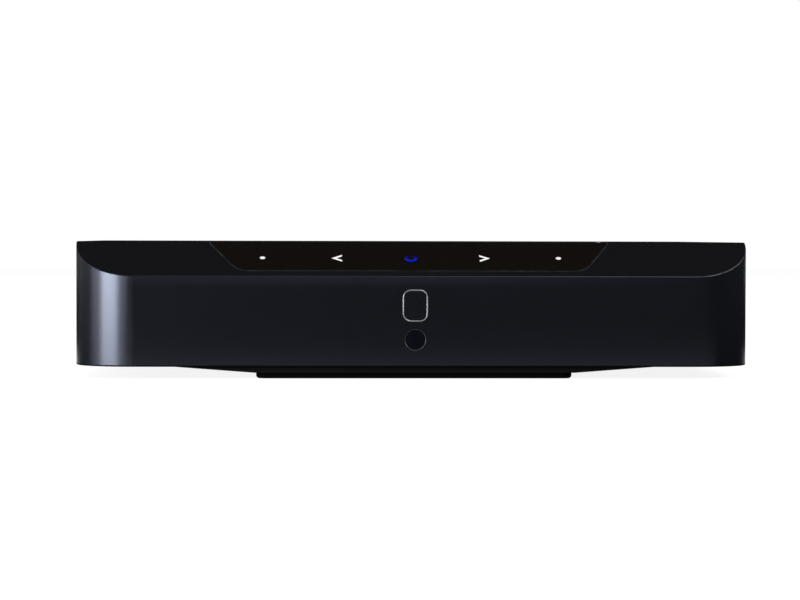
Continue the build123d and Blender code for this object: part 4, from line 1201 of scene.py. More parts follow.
@dataclass
class Casing(SubAssembly):
    """Shell, pan, feet, screws and rear panel.

    Args:
        shell_color: colour of the shell's sides.
        shell_roughness: their roughness.
        pan_black: colour of the pan's coat.
        panel_black: colour of the rear panel's coat.
        rubber_black: colour of the feet.
        painted_edge_highlight: colour of the painted highlight along the shell's edges and crease.
        slope_drop: how far the crease lies under the deck.
    """

    shell_color: Colour = (0.0017, 0.0020, 0.0029)
    shell_roughness: float = 0.26
    pan_black: Colour = (0.0022, 0.0022, 0.0024)
    panel_black: Colour = (0.008, 0.008, 0.0086)
    rubber_black: Colour = (0.0014, 0.0014, 0.0014)
    painted_edge_highlight: Colour = (0.016, 0.017, 0.021)
    slope_drop: float = 10.9 * MM

    def finishes(self) -> dict[str, Finish]:
        """Moulded shell, powder-coated steel, rubber and black screws.

        Returns:
            The finish of each CAD node.
        """
        deck_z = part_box("top_shell")[1].z
        shell = ShellFinish(
            "satin_and_matte_shell",
            self.shell_color,
            self.shell_roughness,
            grain=0.22 * MM,
            relief=0.0012 * MM,
            tone_spread=0.05,
            gloss_spread=0.015,
            specular=0.7,
            tint=(0.72, 0.78, 1.0),
            smears=0.04,
            # painted highlight: a lighter line along the shell's edges and crease
            wear_and_highlight_reach=0.28 * MM,
            wear_and_highlight_color=self.painted_edge_highlight,
            # the painted sheen under the crease reaches up to the crease's level
            painted_sheen_top=deck_z - self.slope_drop,
        )
        coat = Finish(
            "powder_coated_pan",
            self.pan_black,
            0.52,
            grain=0.45 * MM,
            relief=0.02 * MM,
            tone_spread=0.14,
            gloss_spread=0.10,
            specular=0.08,
            wear_and_highlight_reach=0.4 * MM,
            wear_and_highlight_color=(0.004, 0.004, 0.004),
            smears=0.05,
        )
        panel = Finish(
            "powder_coated_panel",
            self.panel_black,
            0.46,
            grain=0.30 * MM,
            relief=0.012 * MM,
            tone_spread=0.12,
            gloss_spread=0.08,
            wear_and_highlight_reach=0.35 * MM,
            smears=0.2,
        )
        rubber = Finish(
            "foot_rubber",
            self.rubber_black,
            0.86,
            grain=0.28 * MM,
            relief=0.03 * MM,
            tone_spread=0.25,
            gloss_spread=0.08,
            specular=0.02,
        )
        screw = DrawnFinish(
            "black_oxide_screw",
            (0.10, 0.10, 0.105),
            0.42,
            metallic=1.0,
            relief=0.002 * MM,
            tone_spread=0.3,
            gloss_spread=0.2,
            run=Axis.Z,
            turned=True,
            line=0.08 * MM,
        )
        return {
            "top_shell": shell,
            "base_pan": coat,
            "rear_panel": panel,
            "foot_strips": rubber,
            "pan_screws": screw,
        }


@dataclass
class TouchBand(SubAssembly):
    """Smoked touch panel with its lit symbols, and the parts under it.

    Args:
        lens_color: colour of the smoked lens.
        painted_lens_outline: colour of the painted highlight, a fine pale line round it.
        unlit: colour of a symbol's unlit part.
        symbol_white: light of the white symbols.
        ring_blue: light of the ring's near side.
        ring_navy: light of its far side.
        dot_reach: radius of the dots' openings.
        keep_round: how far the lens keeps its edges dark round the symbols.
        white_fall: how far past the ring the white symbols' light would fall off.
        ring_stop: how far before its far side the ring's light has fallen off.
    """

    lens_color: Colour = (0.0046, 0.0034, 0.0029)
    painted_lens_outline: Colour = (0.155, 0.155, 0.165)
    unlit: Colour = (0.003, 0.003, 0.003)
    symbol_white: Colour = (1.0, 1.0, 1.0)
    ring_blue: Colour = (0.0, 0.016, 0.55)
    ring_navy: Colour = (0.0, 0.001, 0.016)
    dot_reach: float = 1.0 * MM
    keep_round: float = 1.0 * MM
    white_fall: float = 4.0 * MM
    ring_stop: float = 0.5 * MM

    def finishes(self) -> dict[str, Finish]:
        """Smoked gloss, white and blue lamps, gasket, board and cables.

        Returns:
            The finish of each CAD node.
        """
        low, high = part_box("ring_window")
        marks_low, marks_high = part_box("symbol_windows")
        lens = LensFinish(
            "smoked_gloss_lens",
            self.lens_color,
            0.10,
            grain=1.6 * MM,
            relief=0.0004 * MM,
            tone_spread=0.08,
            gloss_spread=0.03,
            specular=0.42,
            smears=0.35,
            # painted highlight: a fine pale line along the lens's edges
            wear_and_highlight_reach=0.34 * MM,
            wear_and_highlight_color=self.painted_lens_outline,
            keep_low=(marks_low.x - self.keep_round, marks_low.y - self.keep_round),
            keep_high=(marks_high.x + self.keep_round, marks_high.y + self.keep_round),
        )
        symbols = GlowFinish(
            "lit_white_symbols",
            self.unlit,
            0.25,
            relief=0.001 * MM,
            tone_spread=0.03,
            specular=0.2,
            lit_color=self.symbol_white,
            far_color=(0.90, 0.92, 0.95),
            near=low.y,
            far=high.y + self.white_fall,
            dots=(marks_low.x + self.dot_reach, marks_high.x - self.dot_reach),
            dot_level=(marks_low.y + marks_high.y) / 2,
        )
        ring = replace(
            symbols,
            name="lit_blue_ring",
            lit_color=self.ring_blue,
            far_color=self.ring_navy,
            far=high.y - self.ring_stop,
            dots=(),
        )
        gasket = Finish(
            "foam_gasket",
            (0.10, 0.10, 0.11),
            0.9,
            grain=0.5 * MM,
            relief=0.06 * MM,
            tone_spread=0.3,
        )
        lamps = Finish("white_lamp_bodies", (0.72, 0.70, 0.62), 0.35, tone_spread=0.06)
        return {
            "touch_panel": lens,
            "symbol_windows": symbols,
            "ring_window": ring,
            "panel_gasket": gasket,
            "touch_board": BOARD,
            "touch_lamps": lamps,
            "touch_ribbon": RIBBON,
            "sensor_ribbon": RIBBON,
        }


@dataclass
class ReceiverWindow(SubAssembly):
    """Dark round window of the remote receiver, in a bright bevelled rim.

    Args:
        rim_inner: inner radius of the rim.
        rim_outer: its outer radius.
        rim_step: how deep its bevel goes.
        rim_thickness: thickness of its metal.
        rim_lift: how far it stands proud of the bevel that it covers.
        spin_steps: number of its facets.
    """

    rim_inner: float = 3.18 * MM
    rim_outer: float = 3.36 * MM
    rim_step: float = 0.22 * MM
    rim_thickness: float = 0.05 * MM
    rim_lift: float = 0.02 * MM
    spin_steps: int = 72

    def finishes(self) -> dict[str, Finish]:
        """Deep blue-black window, receiver and board.

        Returns:
            The finish of each CAD node.
        """
        window = Finish(
            "dark_receiver_window",
            (0.0016, 0.0024, 0.0042),
            0.12,
            grain=1.2 * MM,
            relief=0.0005 * MM,
            tone_spread=0.10,
            specular=0.35,
        )
        return {"sensor_window": window, "sensor_board": BOARD, "ir_receiver": CHIP}

    def model(self) -> None:
        """Spins the rim's thin bevelled section round the window's axis."""
        low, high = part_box("sensor_window")
        centre = (low + high) / 2
        face_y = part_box("top_shell")[0].y
        radius = (self.rim_inner + self.rim_outer) / 2
        section = Vector((centre.x + radius, face_y + self.rim_step / 2, centre.z))
        Bench.clear()
        bpy.ops.mesh.primitive_plane_add(size=1.0, location=section)
        rim = Bench.begin("window_rim", (self.rim_outer - self.rim_inner, self.rim_step, 1.0))
        mesh = bmesh.from_edit_mesh(rim.data)
        for vertex in mesh.verts:
            outer = vertex.co.x > section.x
            front = vertex.co.y < section.y
            slope_y = face_y - self.rim_lift if outer else face_y + self.rim_step - self.rim_lift
            vertex.co.y = slope_y if front else slope_y + self.rim_thickness
        bmesh.update_edit_mesh(rim.data)
        bpy.ops.mesh.delete(type="ONLY_FACE")
        bpy.ops.mesh.select_all(action="SELECT")
        bpy.ops.mesh.spin(
            steps=self.spin_steps,
            angle=math.tau,
            center=(centre.x, face_y, centre.z),
            axis=(0.0, 1.0, 0.0),
        )
        rim = Bench.close(rim)
        finish_piece(rim, RIM)


@dataclass
class Badge(SubAssembly):
    """A plain rounded outline of bright metal let into the front.

    Args:
        corner: radius of its corners.
        stroke: width of the outline.
        corner_steps: number of facets in a corner.
        edge: width of its rounded edges.
    """

    corner: float = 2.6 * MM
    stroke: float = 0.43 * MM
    corner_steps: int = 10
    edge: float = 0.19 * MM

    def model(self) -> None:
        """Rounds a plate's corners, opens its middle and gives it depth."""
        low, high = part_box("badge_frame")
        centre, size = (low + high) / 2, high - low
        Bench.clear()
        bpy.ops.mesh.primitive_plane_add(
            size=1.0,
            location=(centre.x, high.y, centre.z),
            rotation=(math.radians(90), 0.0, 0.0),
        )
        badge = Bench.begin("badge_outline", (size.x, size.z, 1.0))
        bpy.ops.mesh.bevel(
            offset=self.corner,
            offset_type="OFFSET",
            segments=self.corner_steps,
            affect="VERTICES",
        )
        bpy.ops.mesh.select_all(action="SELECT")
        bpy.ops.mesh.inset(thickness=self.stroke, use_even_offset=True)
        bpy.ops.mesh.delete(type="FACE")
        bpy.ops.mesh.select_all(action="SELECT")
        bpy.ops.mesh.extrude_region_move(TRANSFORM_OT_translate={"value": (0.0, low.y - high.y, 0.0)})
        badge = Bench.close(badge, edge=self.edge)
        finish_piece(badge, TRIM, ("badge_frame",))


@dataclass
class Boards(SubAssembly):
    """Main and power boards with the parts that hold and join them.

    Args:
        seam: lower and upper level of the line where the headers' halves meet.
    """

    seam: tuple[float, float] = (18.9 * MM, 19.2 * MM)

    def finishes(self) -> dict[str, Finish]:
        """Boards, screws, barrier sheet, chips, shields, headers and cable.

        Returns:
            The finish of each CAD node.
        """
        sheet = Finish(
            "amber_barrier_sheet",
            (0.62, 0.44, 0.16),
            0.28,
            grain=2.5 * MM,
            relief=0.01 * MM,
            tone_spread=0.12,
            gloss_spread=0.10,
        )
        header = Finish(
            "white_headers",
            (0.70, 0.68, 0.61),
            0.45,
            accents=(Accent(Axis.Z, *self.seam, (0.55, 0.53, 0.48), 0.6),),
        )
        cable = CableFinish(
            "black_power_cable",
            (0.02, 0.02, 0.021),
            0.5,
            relief=0.25 * MM,
            across=Axis.Y,
            pitch=2.0 * MM,
            stripe=(0.035, 0.035, 0.037),
        )
        screw = DrawnFinish(
            "plated_board_screws",
            (0.60, 0.60, 0.58),
            0.32,
            metallic=1.0,
            relief=0.002 * MM,
            run=Axis.Z,
            turned=True,
            line=0.08 * MM,
        )
        return {
            "main_board": BOARD,
            "power_board": BOARD,
            "board_screws": screw,
            "barrier_sheet": sheet,
            "processor_chips": CHIP,
            "processor_shield": STEEL,
            "wireless_module": STEEL,
            "board_headers": header,
            "power_cable": cable,
        }


def sleeved_can(name: str, high: Vector, stripe: Axis, stripe_width: float) -> Finish:
    """Dark sleeve with a bare metal end, and a pale stripe down one side.

    Args:
        name: the material's name.
        high: highest corner of the cans.
        stripe: the axis that the stripe's side faces.
        stripe_width: how far the stripe reaches in from that side, in metres.

    Returns:
        The finish.
    """
    end_depth, past = 0.8 * MM, 0.2 * MM
    side = high[stripe.value]
    bare = Accent(Axis.Z, high.z - end_depth, high.z + past, (0.58, 0.58, 0.60), 0.3, 1.0, on_top=True)
    pale = Accent(stripe, side - stripe_width, side + past, (0.55, 0.56, 0.60), 0.3)
    return Finish(name, (0.020, 0.030, 0.065), 0.24, tone_spread=0.08, accents=(bare, pale))


@dataclass
class AmplifierStage(SubAssembly):
    """Amplifier chips under their heatsink, with inductors and capacitors.

    Args:
        stripe_width: how far the stripe reaches round the reservoir capacitors.
    """

    stripe_width: float = 0.9 * MM

    def finishes(self) -> dict[str, Finish]:
        """Chips, pads, extruded sink, ferrite, film and can capacitors.

        Returns:
            The finish of each CAD node.
        """
        cans = sleeved_can("sleeved_cans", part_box("reservoir_capacitors")[1], Axis.Y, self.stripe_width)
        film = Finish(
            "dipped_film_capacitors",
            (0.52, 0.36, 0.045),
            0.22,
            grain=1.1 * MM,
            relief=0.05 * MM,
            coat=0.3,
        )
        pad = Finish("silicone_pads", (0.42, 0.44, 0.47), 0.8, grain=0.5 * MM, relief=0.03 * MM)
        return {
            "amplifier_chips": CHIP,
            "thermal_pads": pad,
            "amplifier_heatsink": SINK,
            "output_inductors": FERRITE,
            "film_capacitors": film,
            "reservoir_capacitors": cans,
        }


@dataclass
class PowerSupply(SubAssembly):
    """Mains side: choke, fuse, bulk capacitor, transformer and its switches.

    Args:
        cap_thickness: length of the fuse's metal caps.
        stripe_width: how far the stripe reaches round the bulk capacitor.
        copper: colour of enamelled wire.
    """

    cap_thickness: float = 5.0 * MM
    stripe_width: float = 1.2 * MM
    copper: Colour = (0.55, 0.21, 0.075)

    def finishes(self) -> dict[str, Finish]:
        """Can, core, bobbin, windings, fuse, sink and transistors.

        Returns:
            The finish of each CAD node.
        """
        can = sleeved_can("sleeved_bulk_can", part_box("bulk_capacitor")[1], Axis.X, self.stripe_width)
        low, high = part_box("mains_fuse")
        fuse = Finish(
            "glass_fuse",
            (0.55, 0.58, 0.56),
            0.06,
            grain=2.0 * MM,
            relief=0.001 * MM,
            coat=0.6,
            accents=tuple(
                Accent(Axis.Y, start, start + self.cap_thickness, (0.62, 0.61, 0.58), 0.28, 1.0)
                for start in (low.y, high.y - self.cap_thickness)
            ),
        )
        winding = WoundFinish("transformer_turns", self.copper, 0.25, relief=0.25 * MM, metallic=1.0)
        choke_low, choke_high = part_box("mains_choke")
        middle = tuple((choke_low + choke_high) / 2)
        choke = replace(winding, name="ring_choke_turns", centre=middle, around=True)
        bobbin = Finish("black_bobbin", (0.022, 0.021, 0.020), 0.42, relief=0.004 * MM)
        return {
            "bulk_capacitor": can,
            "transformer_core": FERRITE,
            "transformer_bobbin": bobbin,
            "transformer_winding": winding,
            "mains_choke": choke,
            "mains_fuse": fuse,
            "supply_heatsink": SINK,
            "supply_transistors": CHIP,
        }


@dataclass
class RearSockets(SubAssembly):
    """Mains inlet, phono, video, serial and network sockets, and the control jack.

    Args:
        finger_thickness: thickness of a flat contact.
        finger_edge: width of its rounded edges.
        tip_share: length of its tip, as a share of its own.
        tip_scale: how much the tip narrows along each axis.
        video_pitch: spacing of the video port's contacts.
        video_finger: their width.
        video_count: their number in a row.
        video_tongue: half the thickness of the tongue between the rows.
        video_clear: their distance from the port's inner and outer end.
        serial_pitch: spacing of the serial port's contacts.
        serial_finger: their width.
        serial_count: their number.
        serial_under: level of the tongue's underside over the port's floor.
        serial_clear: their distance from either end.
        network_pitch: spacing of the network socket's wires.
        network_wire: their width.
        network_edge: width of their rounded edges.
        network_count: their number.
        network_roof: level of the mouth's roof over the socket's floor.
        network_start: how far inside the mouth they start.
        network_steps: their bends, as moves along Y and Z.
    """

    finger_thickness: float = 0.10 * MM
    finger_edge: float = 0.02 * MM
    tip_share: float = 0.06
    tip_scale: tuple[float, float, float] = (0.7, 1.0, 0.5)
    video_pitch: float = 1.0 * MM
    video_finger: float = 0.45 * MM
    video_count: int = 10
    video_tongue: float = 0.5 * MM
    video_clear: tuple[float, float] = (1.4 * MM, 2.2 * MM)
    serial_pitch: float = 2.5 * MM
    serial_finger: float = 1.1 * MM
    serial_count: int = 4
    serial_under: float = 2.40 * MM
    serial_clear: float = 2.0 * MM
    network_pitch: float = 1.02 * MM
    network_wire: float = 0.36 * MM
    network_edge: float = 0.05 * MM
    network_count: int = 8
    network_roof: float = 10.0 * MM
    network_start: float = 2.4 * MM
    network_steps: tuple[tuple[float, float], ...] = (
        (-1.2 * MM, -0.3 * MM),
        (-2.2 * MM, -1.5 * MM),
        (-2.6 * MM, -1.3 * MM),
        (-1.4 * MM, 0.2 * MM),
    )

    def finishes(self) -> dict[str, Finish]:
        """Black mouldings, plated shells, steel pins and a gold barrel.

        Returns:
            The finish of each CAD node.
        """
        inlet = Finish(
            "inlet_moulding",
            (0.014, 0.014, 0.014),
            0.38,
            relief=0.004 * MM,
            smears=0.5,
            wear_and_highlight_reach=0.3 * MM,
        )
        pins = DrawnFinish(
            "inlet_pins_plated",
            (0.66, 0.65, 0.62),
            0.24,
            metallic=1.0,
            relief=0.001 * MM,
            run=Axis.Y,
            line=0.10 * MM,
        )
        housing = Finish("phono_housing", (0.014, 0.014, 0.014), 0.42, relief=0.004 * MM)
        return {
            "mains_inlet": inlet,
            "inlet_pins": pins,
            "rca_housing": housing,
            "rca_barrel": GOLD,
            "hdmi_shell": STEEL,
            "usb_shell": STEEL,
            "lan_shell": STEEL,
            "port_inserts": MOULDING,
            "lan_insert": MOULDING,
            "control_jack": MOULDING,
        }

    def finger(self, name: str, low: Vector, high: Vector) -> Piece:
        """One flat contact with a turned-down tip.

        Args:
            name: the piece's name.
            low: lowest corner.
            high: highest corner, with the tip at its far end along Y.

        Returns:
            The contact, in object mode.
        """
        Bench.clear()
        bpy.ops.mesh.primitive_cube_add(size=1.0, location=(low + high) / 2)
        contact = Bench.begin(name, tuple(high - low))
        Bench.pick_faces(contact, lambda face: face.normal.y > 0.9)
        tip = self.tip_share * (high.y - low.y)
        bpy.ops.mesh.extrude_region_move(TRANSFORM_OT_translate={"value": (0.0, tip, 0.0)})
        bpy.ops.transform.resize(value=self.tip_scale)
        return Bench.close(contact, edge=self.finger_edge)

    def row(self, name: str, first: Piece, count: int, pitch: float) -> Piece:
        """Repeats a contact along X.

        Args:
            name: the finished row's name.
            first: the contact that is modelled once.
            count: number of contacts.
            pitch: their spacing.

        Returns:
            The row as one piece.
        """
        made = Bench.copies(first, [Vector((k * pitch, 0.0, 0.0)) for k in range(1, count)])
        made.name = name
        return made

    def model(self) -> None:
        """Makes the gold contacts that show in the three ports' mouths."""
        for maker in (self.video_contacts, self.serial_contacts, self.network_contacts):
            finish_piece(maker(), CONTACT)

    def video_contacts(self) -> Piece:
        """Two rows of fingers, above and below the video port's tongue.

        Returns:
            The contacts as one piece.
        """
        low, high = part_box("hdmi_shell")
        middle = (low + high) / 2
        start = middle.x - (self.video_count - 1) / 2 * self.video_pitch
        half = self.video_finger / 2
        rows = []
        for side in (1, -1):
            level = middle.z + side * self.video_tongue
            outer = level + side * self.finger_thickness
            corner = Vector((start - half, low.y + self.video_clear[0], min(level, outer)))
            far = Vector((start + half, high.y - self.video_clear[1], max(level, outer)))
            first = self.finger("video_contacts", corner, far)
            rows.append(self.row("video_contacts", first, self.video_count, self.video_pitch))
        return Bench.join(rows)

    def serial_contacts(self) -> Piece:
        """Four wide fingers under the serial port's tongue.

        Returns:
            The contacts as one piece.
        """
        low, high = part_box("usb_shell")
        middle = (low + high) / 2
        under = low.z + self.serial_under
        start = middle.x - (self.serial_count - 1) / 2 * self.serial_pitch
        half = self.serial_finger / 2
        corner = Vector((start - half, low.y + self.serial_clear, under - self.finger_thickness))
        far = Vector((start + half, high.y - self.serial_clear, under))
        first = self.finger("serial_contacts", corner, far)
        return self.row("serial_contacts", first, self.serial_count, self.serial_pitch)

    def network_contacts(self) -> Piece:
        """Eight springy wires that slope down from the roof of the network mouth.

        Returns:
            The contacts as one piece.
        """
        low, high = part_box("lan_insert")
        middle = (low + high) / 2
        roof = low.z + self.network_roof
        start = middle.x - (self.network_count - 1) / 2 * self.network_pitch
        Bench.clear()
        bpy.ops.mesh.primitive_plane_add(
            size=self.network_wire,
            location=(start, high.y - self.network_start, roof - self.network_wire / 2),
            rotation=(math.radians(90), 0.0, 0.0),
        )
        wire = Bench.begin("network_contacts")
        for step in self.network_steps:
            bpy.ops.mesh.extrude_region_move(TRANSFORM_OT_translate={"value": (0.0, *step)})
        wire = Bench.close(wire, edge=self.network_edge)
        return self.row("network_contacts", wire, self.network_count, self.network_pitch)


@dataclass
class Terminals(SubAssembly):
    """Speaker terminals: block, gold stems, and a clamp and a cap on each.

    Args:
        count: number of terminals.
        mark_depth: how far the signs' print reaches to either side of their face.
        mark_color: colour of that print.
    """

    count: int = 4
    mark_depth: float = 0.12 * MM
    mark_color: Colour = (0.50, 0.50, 0.48)

    def finishes(self) -> dict[str, Finish]:
        """Black block with printed signs, gold stems and clamps, black and red caps.

        Returns:
            The finish of each CAD node.
        """
        face_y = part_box("terminal_block")[1].y
        signs = Accent(Axis.Y, face_y - self.mark_depth, face_y + self.mark_depth, self.mark_color, 0.45)
        block = Finish(
            "terminal_block_moulding",
            (0.0085, 0.0085, 0.0085),
            0.40,
            grain=0.30 * MM,
            relief=0.010 * MM,
            wear_and_highlight_reach=0.3 * MM,
            smears=0.2,
            accents=(signs,),
        )
        black = Finish(
            "cap_black",
            (0.013, 0.013, 0.014),
            0.22,
            relief=0.002 * MM,
            wear_and_highlight_reach=0.35 * MM,
            smears=0.15,
        )
        red = replace(black, name="cap_red", color=(0.42, 0.012, 0.012))
        caps = {"cap_black": black, "red_plastic": red}
        dressed: dict[str, Finish] = {"terminal_block": block, "terminal_stems": GOLD}
        slots = {row["node"]: row["material_slot"] for row in frame["record"]["subparts"]}
        for k in range(1, self.count + 1):
            dressed[f"terminal_clamp_{k}"] = GOLD
            dressed[f"terminal_cap_{k}"] = caps[slots[f"terminal_cap_{k}"]]
        return dressed


BOARD = BoardFinish(
    "green_board",
    (0.012, 0.085, 0.034),
    0.32,
    relief=0.035 * MM,
    tone_spread=0.12,
    coat=0.2,
)
RIBBON = CableFinish("white_ribbon", (0.66, 0.67, 0.70), 0.42, relief=0.02 * MM, tone_spread=0.06)
CHIP = Finish(
    "moulded_chips",
    (0.022, 0.022, 0.024),
    0.48,
    grain=0.14 * MM,
    relief=0.006 * MM,
    tone_spread=0.2,
)
STEEL = DrawnFinish(
    "tinned_steel",
    (0.60, 0.60, 0.57),
    0.30,
    metallic=1.0,
    relief=0.0015 * MM,
    tone_spread=0.14,
    gloss_spread=0.12,
    smears=0.5,
    run=Axis.X,
    line=0.14 * MM,
)
SINK = DrawnFinish(
    "extruded_sink",
    (0.50, 0.51, 0.53),
    0.38,
    metallic=1.0,
    relief=0.004 * MM,
    tone_spread=0.12,
    gloss_spread=0.12,
    run=Axis.X,
    line=0.20 * MM,
)
GOLD = DrawnFinish(
    "turned_gold_plate",
    (0.80, 0.56, 0.20),
    0.22,
    metallic=1.0,
    relief=0.0015 * MM,
    tone_spread=0.14,
    gloss_spread=0.10,
    run=Axis.Y,
    turned=True,
    line=0.09 * MM,
)
CONTACT = DrawnFinish(
    "gold_contacts",
    (0.82, 0.60, 0.25),
    0.20,
    metallic=1.0,
    relief=0.001 * MM,
    run=Axis.Y,
    line=0.10 * MM,
)
FERRITE = Finish(
    "sintered_ferrite",
    (0.035, 0.035, 0.038),
    0.62,
    grain=0.25 * MM,
    relief=0.02 * MM,
    tone_spread=0.35,
)
MOULDING = Finish("black_socket_moulding", (0.016, 0.016, 0.016), 0.40, relief=0.004 * MM, tone_spread=0.12)
TRIM = Finish(
    "polished_trim",
    (0.25, 0.255, 0.265),
    0.24,
    metallic=0.7,
    grain=0.5 * MM,
    relief=0.0006 * MM,
    tone_spread=0.05,
    gloss_spread=0.05,
)
RIM = replace(TRIM, name="bright_rim", color=(0.44, 0.45, 0.47), metallic=0.6)


@dataclass
class PhotoCamera:
    """The camera at the photograph's angle.

    Args:
        place: where it stands, in metres.
        heading: the way it looks.
        roll: turn about that way, in degrees.
        lens: focal length, in millimetres.
        sensor: width of the sensor, in millimetres.
        shift: shift of the picture, in picture widths.
        clip: nearest and farthest that it sees, in metres.
    """

    place: tuple[float, float, float] = (-0.04822, -1.01524, 0.04572)
    heading: tuple[float, float, float] = (0.04569, 0.99869, -0.02319)
    roll: float = 0.135
    lens: float = 129.25
    sensor: float = 36.0
    shift: tuple[float, float] = (0.0047, 0.0039)
    clip: tuple[float, float] = (0.02, 60.0)

    def build(self) -> None:
        """Makes the camera and gives it to the scene."""
        data = bpy.data.cameras.new("photo_camera")
        data.sensor_width = self.sensor
        data.lens = self.lens
        data.shift_x, data.shift_y = self.shift
        data.clip_start, data.clip_end = self.clip
        camera = bpy.data.objects.new("photo_camera", data)
        bpy.context.scene.collection.objects.link(camera)
        camera.location = self.place
        aim = Vector(self.heading).normalized()
        turn = aim.to_track_quat("-Z", "Y").to_matrix()
        right, up = turn.col[0], turn.col[1]
        angle = math.radians(self.roll)
        turn.col[0] = math.cos(angle) * right + math.sin(angle) * up
        turn.col[1] = -math.sin(angle) * right + math.cos(angle) * up
        camera.rotation_euler = turn.to_euler()
        bpy.context.scene.camera = camera
        log.info("camera at %s", tuple(round(v, 3) for v in camera.location))


@dataclass
class SoftBox:
    """A soft lamp of the studio.

    Args:
        name: the lamp's name.
        toward: direction of its middle from the object.
        distance: how far it stands, in metres.
        width: its width, in metres.
        height: its height, in metres.
        radiance: brightness of its face, where 1 is white.
        mirrored: whether gloss shows it.
    """

    name: str
    toward: tuple[float, float, float]
    distance: float
    width: float
    height: float
    radiance: float
    mirrored: bool = True

    def build(self) -> None:
        """Makes the lamp, facing the object."""
        data = bpy.data.lights.new(self.name, "AREA")
        data.shape = "RECTANGLE"
        data.size, data.size_y = self.width, self.height
        data.energy = math.pi * self.width * self.height * self.radiance
        lamp = bpy.data.objects.new(self.name, data)
        bpy.context.scene.collection.objects.link(lamp)
        aim = Vector(self.toward).normalized()
        lamp.location = aim * self.distance
        lamp.rotation_euler = aim.to_track_quat("Z", "Y").to_euler()
        lamp.visible_camera = False
        lamp.visible_transmission = False
        lamp.visible_glossy = self.mirrored
        log.info("soft box %s, %.1f W", self.name, data.energy)


class Backdrop:
    """What the floor, the flags and the world share."""

    @staticmethod
    def seen(sheet: NodeSheet) -> Socket:
        """1 for rays from the camera, gloss or glass, and 0 for light that falls on things.

        Args:
            sheet: the material's sheet.

        Returns:
            The value's socket.
        """
        path = sheet.add("LightPath")
        direct = sheet.calc("ADD", path.outputs["Is Camera Ray"], path.outputs["Is Glossy Ray"], clamp=True)
        return sheet.calc("ADD", direct, path.outputs["Is Transmission Ray"], clamp=True)

    @staticmethod
    def for_gloss(piece: Piece, material: bpy.types.Material) -> None:
        """Dresses a card of the stage and hides it from all but glossy rays.

        Args:
            piece: the card.
            material: its material.
        """
        piece.data.materials.append(material)
        piece.visible_camera = piece.visible_diffuse = False
        piece.visible_transmission = piece.visible_shadow = False


@dataclass
class Floor:
    """Plain pale floor that keeps the object's shadow.

    Args:
        size: its width, in metres.
        color: its colour.
        roughness: its roughness.
        shown: share of the plain white that the camera sees over the lit floor.
        white: strength of that white.
    """

    size: float = 30.0
    color: Colour = (0.85, 0.85, 0.86)
    roughness: float = 0.9
    shown: float = 0.75
    white: float = 1.17

    def build(self) -> None:
        """Makes the floor and marks it as stage."""
        Bench.clear()
        bpy.ops.mesh.primitive_plane_add(size=self.size)
        floor = bpy.context.object
        floor.name = "studio_floor"
        material, sheet = blank_material("pale_floor")
        paper, white = sheet.add("BsdfPrincipled"), sheet.add("Emission")
        sheet.put(paper.inputs["Base Color"], self.color)
        sheet.put(paper.inputs["Roughness"], self.roughness)
        sheet.put(white.inputs["Strength"], self.white)
        mixed = sheet.add("MixShader")
        sheet.put(mixed.inputs[0], sheet.product(Backdrop.seen(sheet), self.shown))
        sheet.put(mixed.inputs[1], paper.outputs[0])
        sheet.put(mixed.inputs[2], white.outputs[0])
        open_below = sheet.add("MixShader")
        sheet.put(open_below.inputs[0], sheet.add("NewGeometry").outputs["Backfacing"])
        sheet.put(open_below.inputs[1], mixed.outputs[0])
        sheet.put(open_below.inputs[2], sheet.add("BsdfTransparent").outputs[0])
        sheet.show(open_below)
        floor.data.materials.append(material)
        log.info("floor %.0f m wide", self.size)


@dataclass
class DarkTent:
    """Black flags round the set that only gloss can see, so that a black body reflects black.

    Args:
        half_width: half of its width, in metres.
        front: its front wall, in metres along Y.
        back: its back wall, in metres along Y.
        height: its roof, in metres.
        opening: size of the bare floor in the flag that lies round the object, in metres along X and Y.
        opening_middle: middle of that opening, in metres along Y.
        margin: width of that flag round its opening, in metres.
        lift: how high that flag lies, in metres.
        grey: brightness of its cloth.
    """

    half_width: float = 2.2
    front: float = -3.2
    back: float = 3.0
    height: float = 2.6
    opening: tuple[float, float] = (0.26, 0.02)
    opening_middle: float = -0.127
    margin: float = 2.0
    lift: float = 1.0 * MM
    grey: float = 0.006

    def build(self) -> None:
        """Makes the tent, open below, and the flag on the floor."""
        Bench.clear()
        middle = (0.0, (self.front + self.back) / 2, self.height / 2)
        bpy.ops.mesh.primitive_cube_add(size=1.0, location=middle)
        tent = Bench.begin("dark_tent", (2 * self.half_width, self.back - self.front, self.height))
        Bench.pick_faces(tent, lambda face: face.normal.z < -0.9)
        bpy.ops.mesh.delete(type="FACE")
        Bench.clear()
        bpy.ops.mesh.primitive_plane_add(size=1.0, location=(0.0, self.opening_middle, self.lift))
        card = Bench.begin("dark_card", (*(size + 2 * self.margin for size in self.opening), 1.0))
        bpy.ops.mesh.inset(thickness=self.margin)
        bpy.ops.mesh.delete(type="FACE")
        bpy.ops.object.mode_set(mode="OBJECT")
        material, sheet = blank_material("black_flag")
        cloth = sheet.add("Emission")
        sheet.put(cloth.inputs["Strength"], self.grey)
        sheet.show(cloth)
        for flag in (tent, card):
            Backdrop.for_gloss(flag, material)
        log.info("dark tent %.1f m wide", 2 * self.half_width)


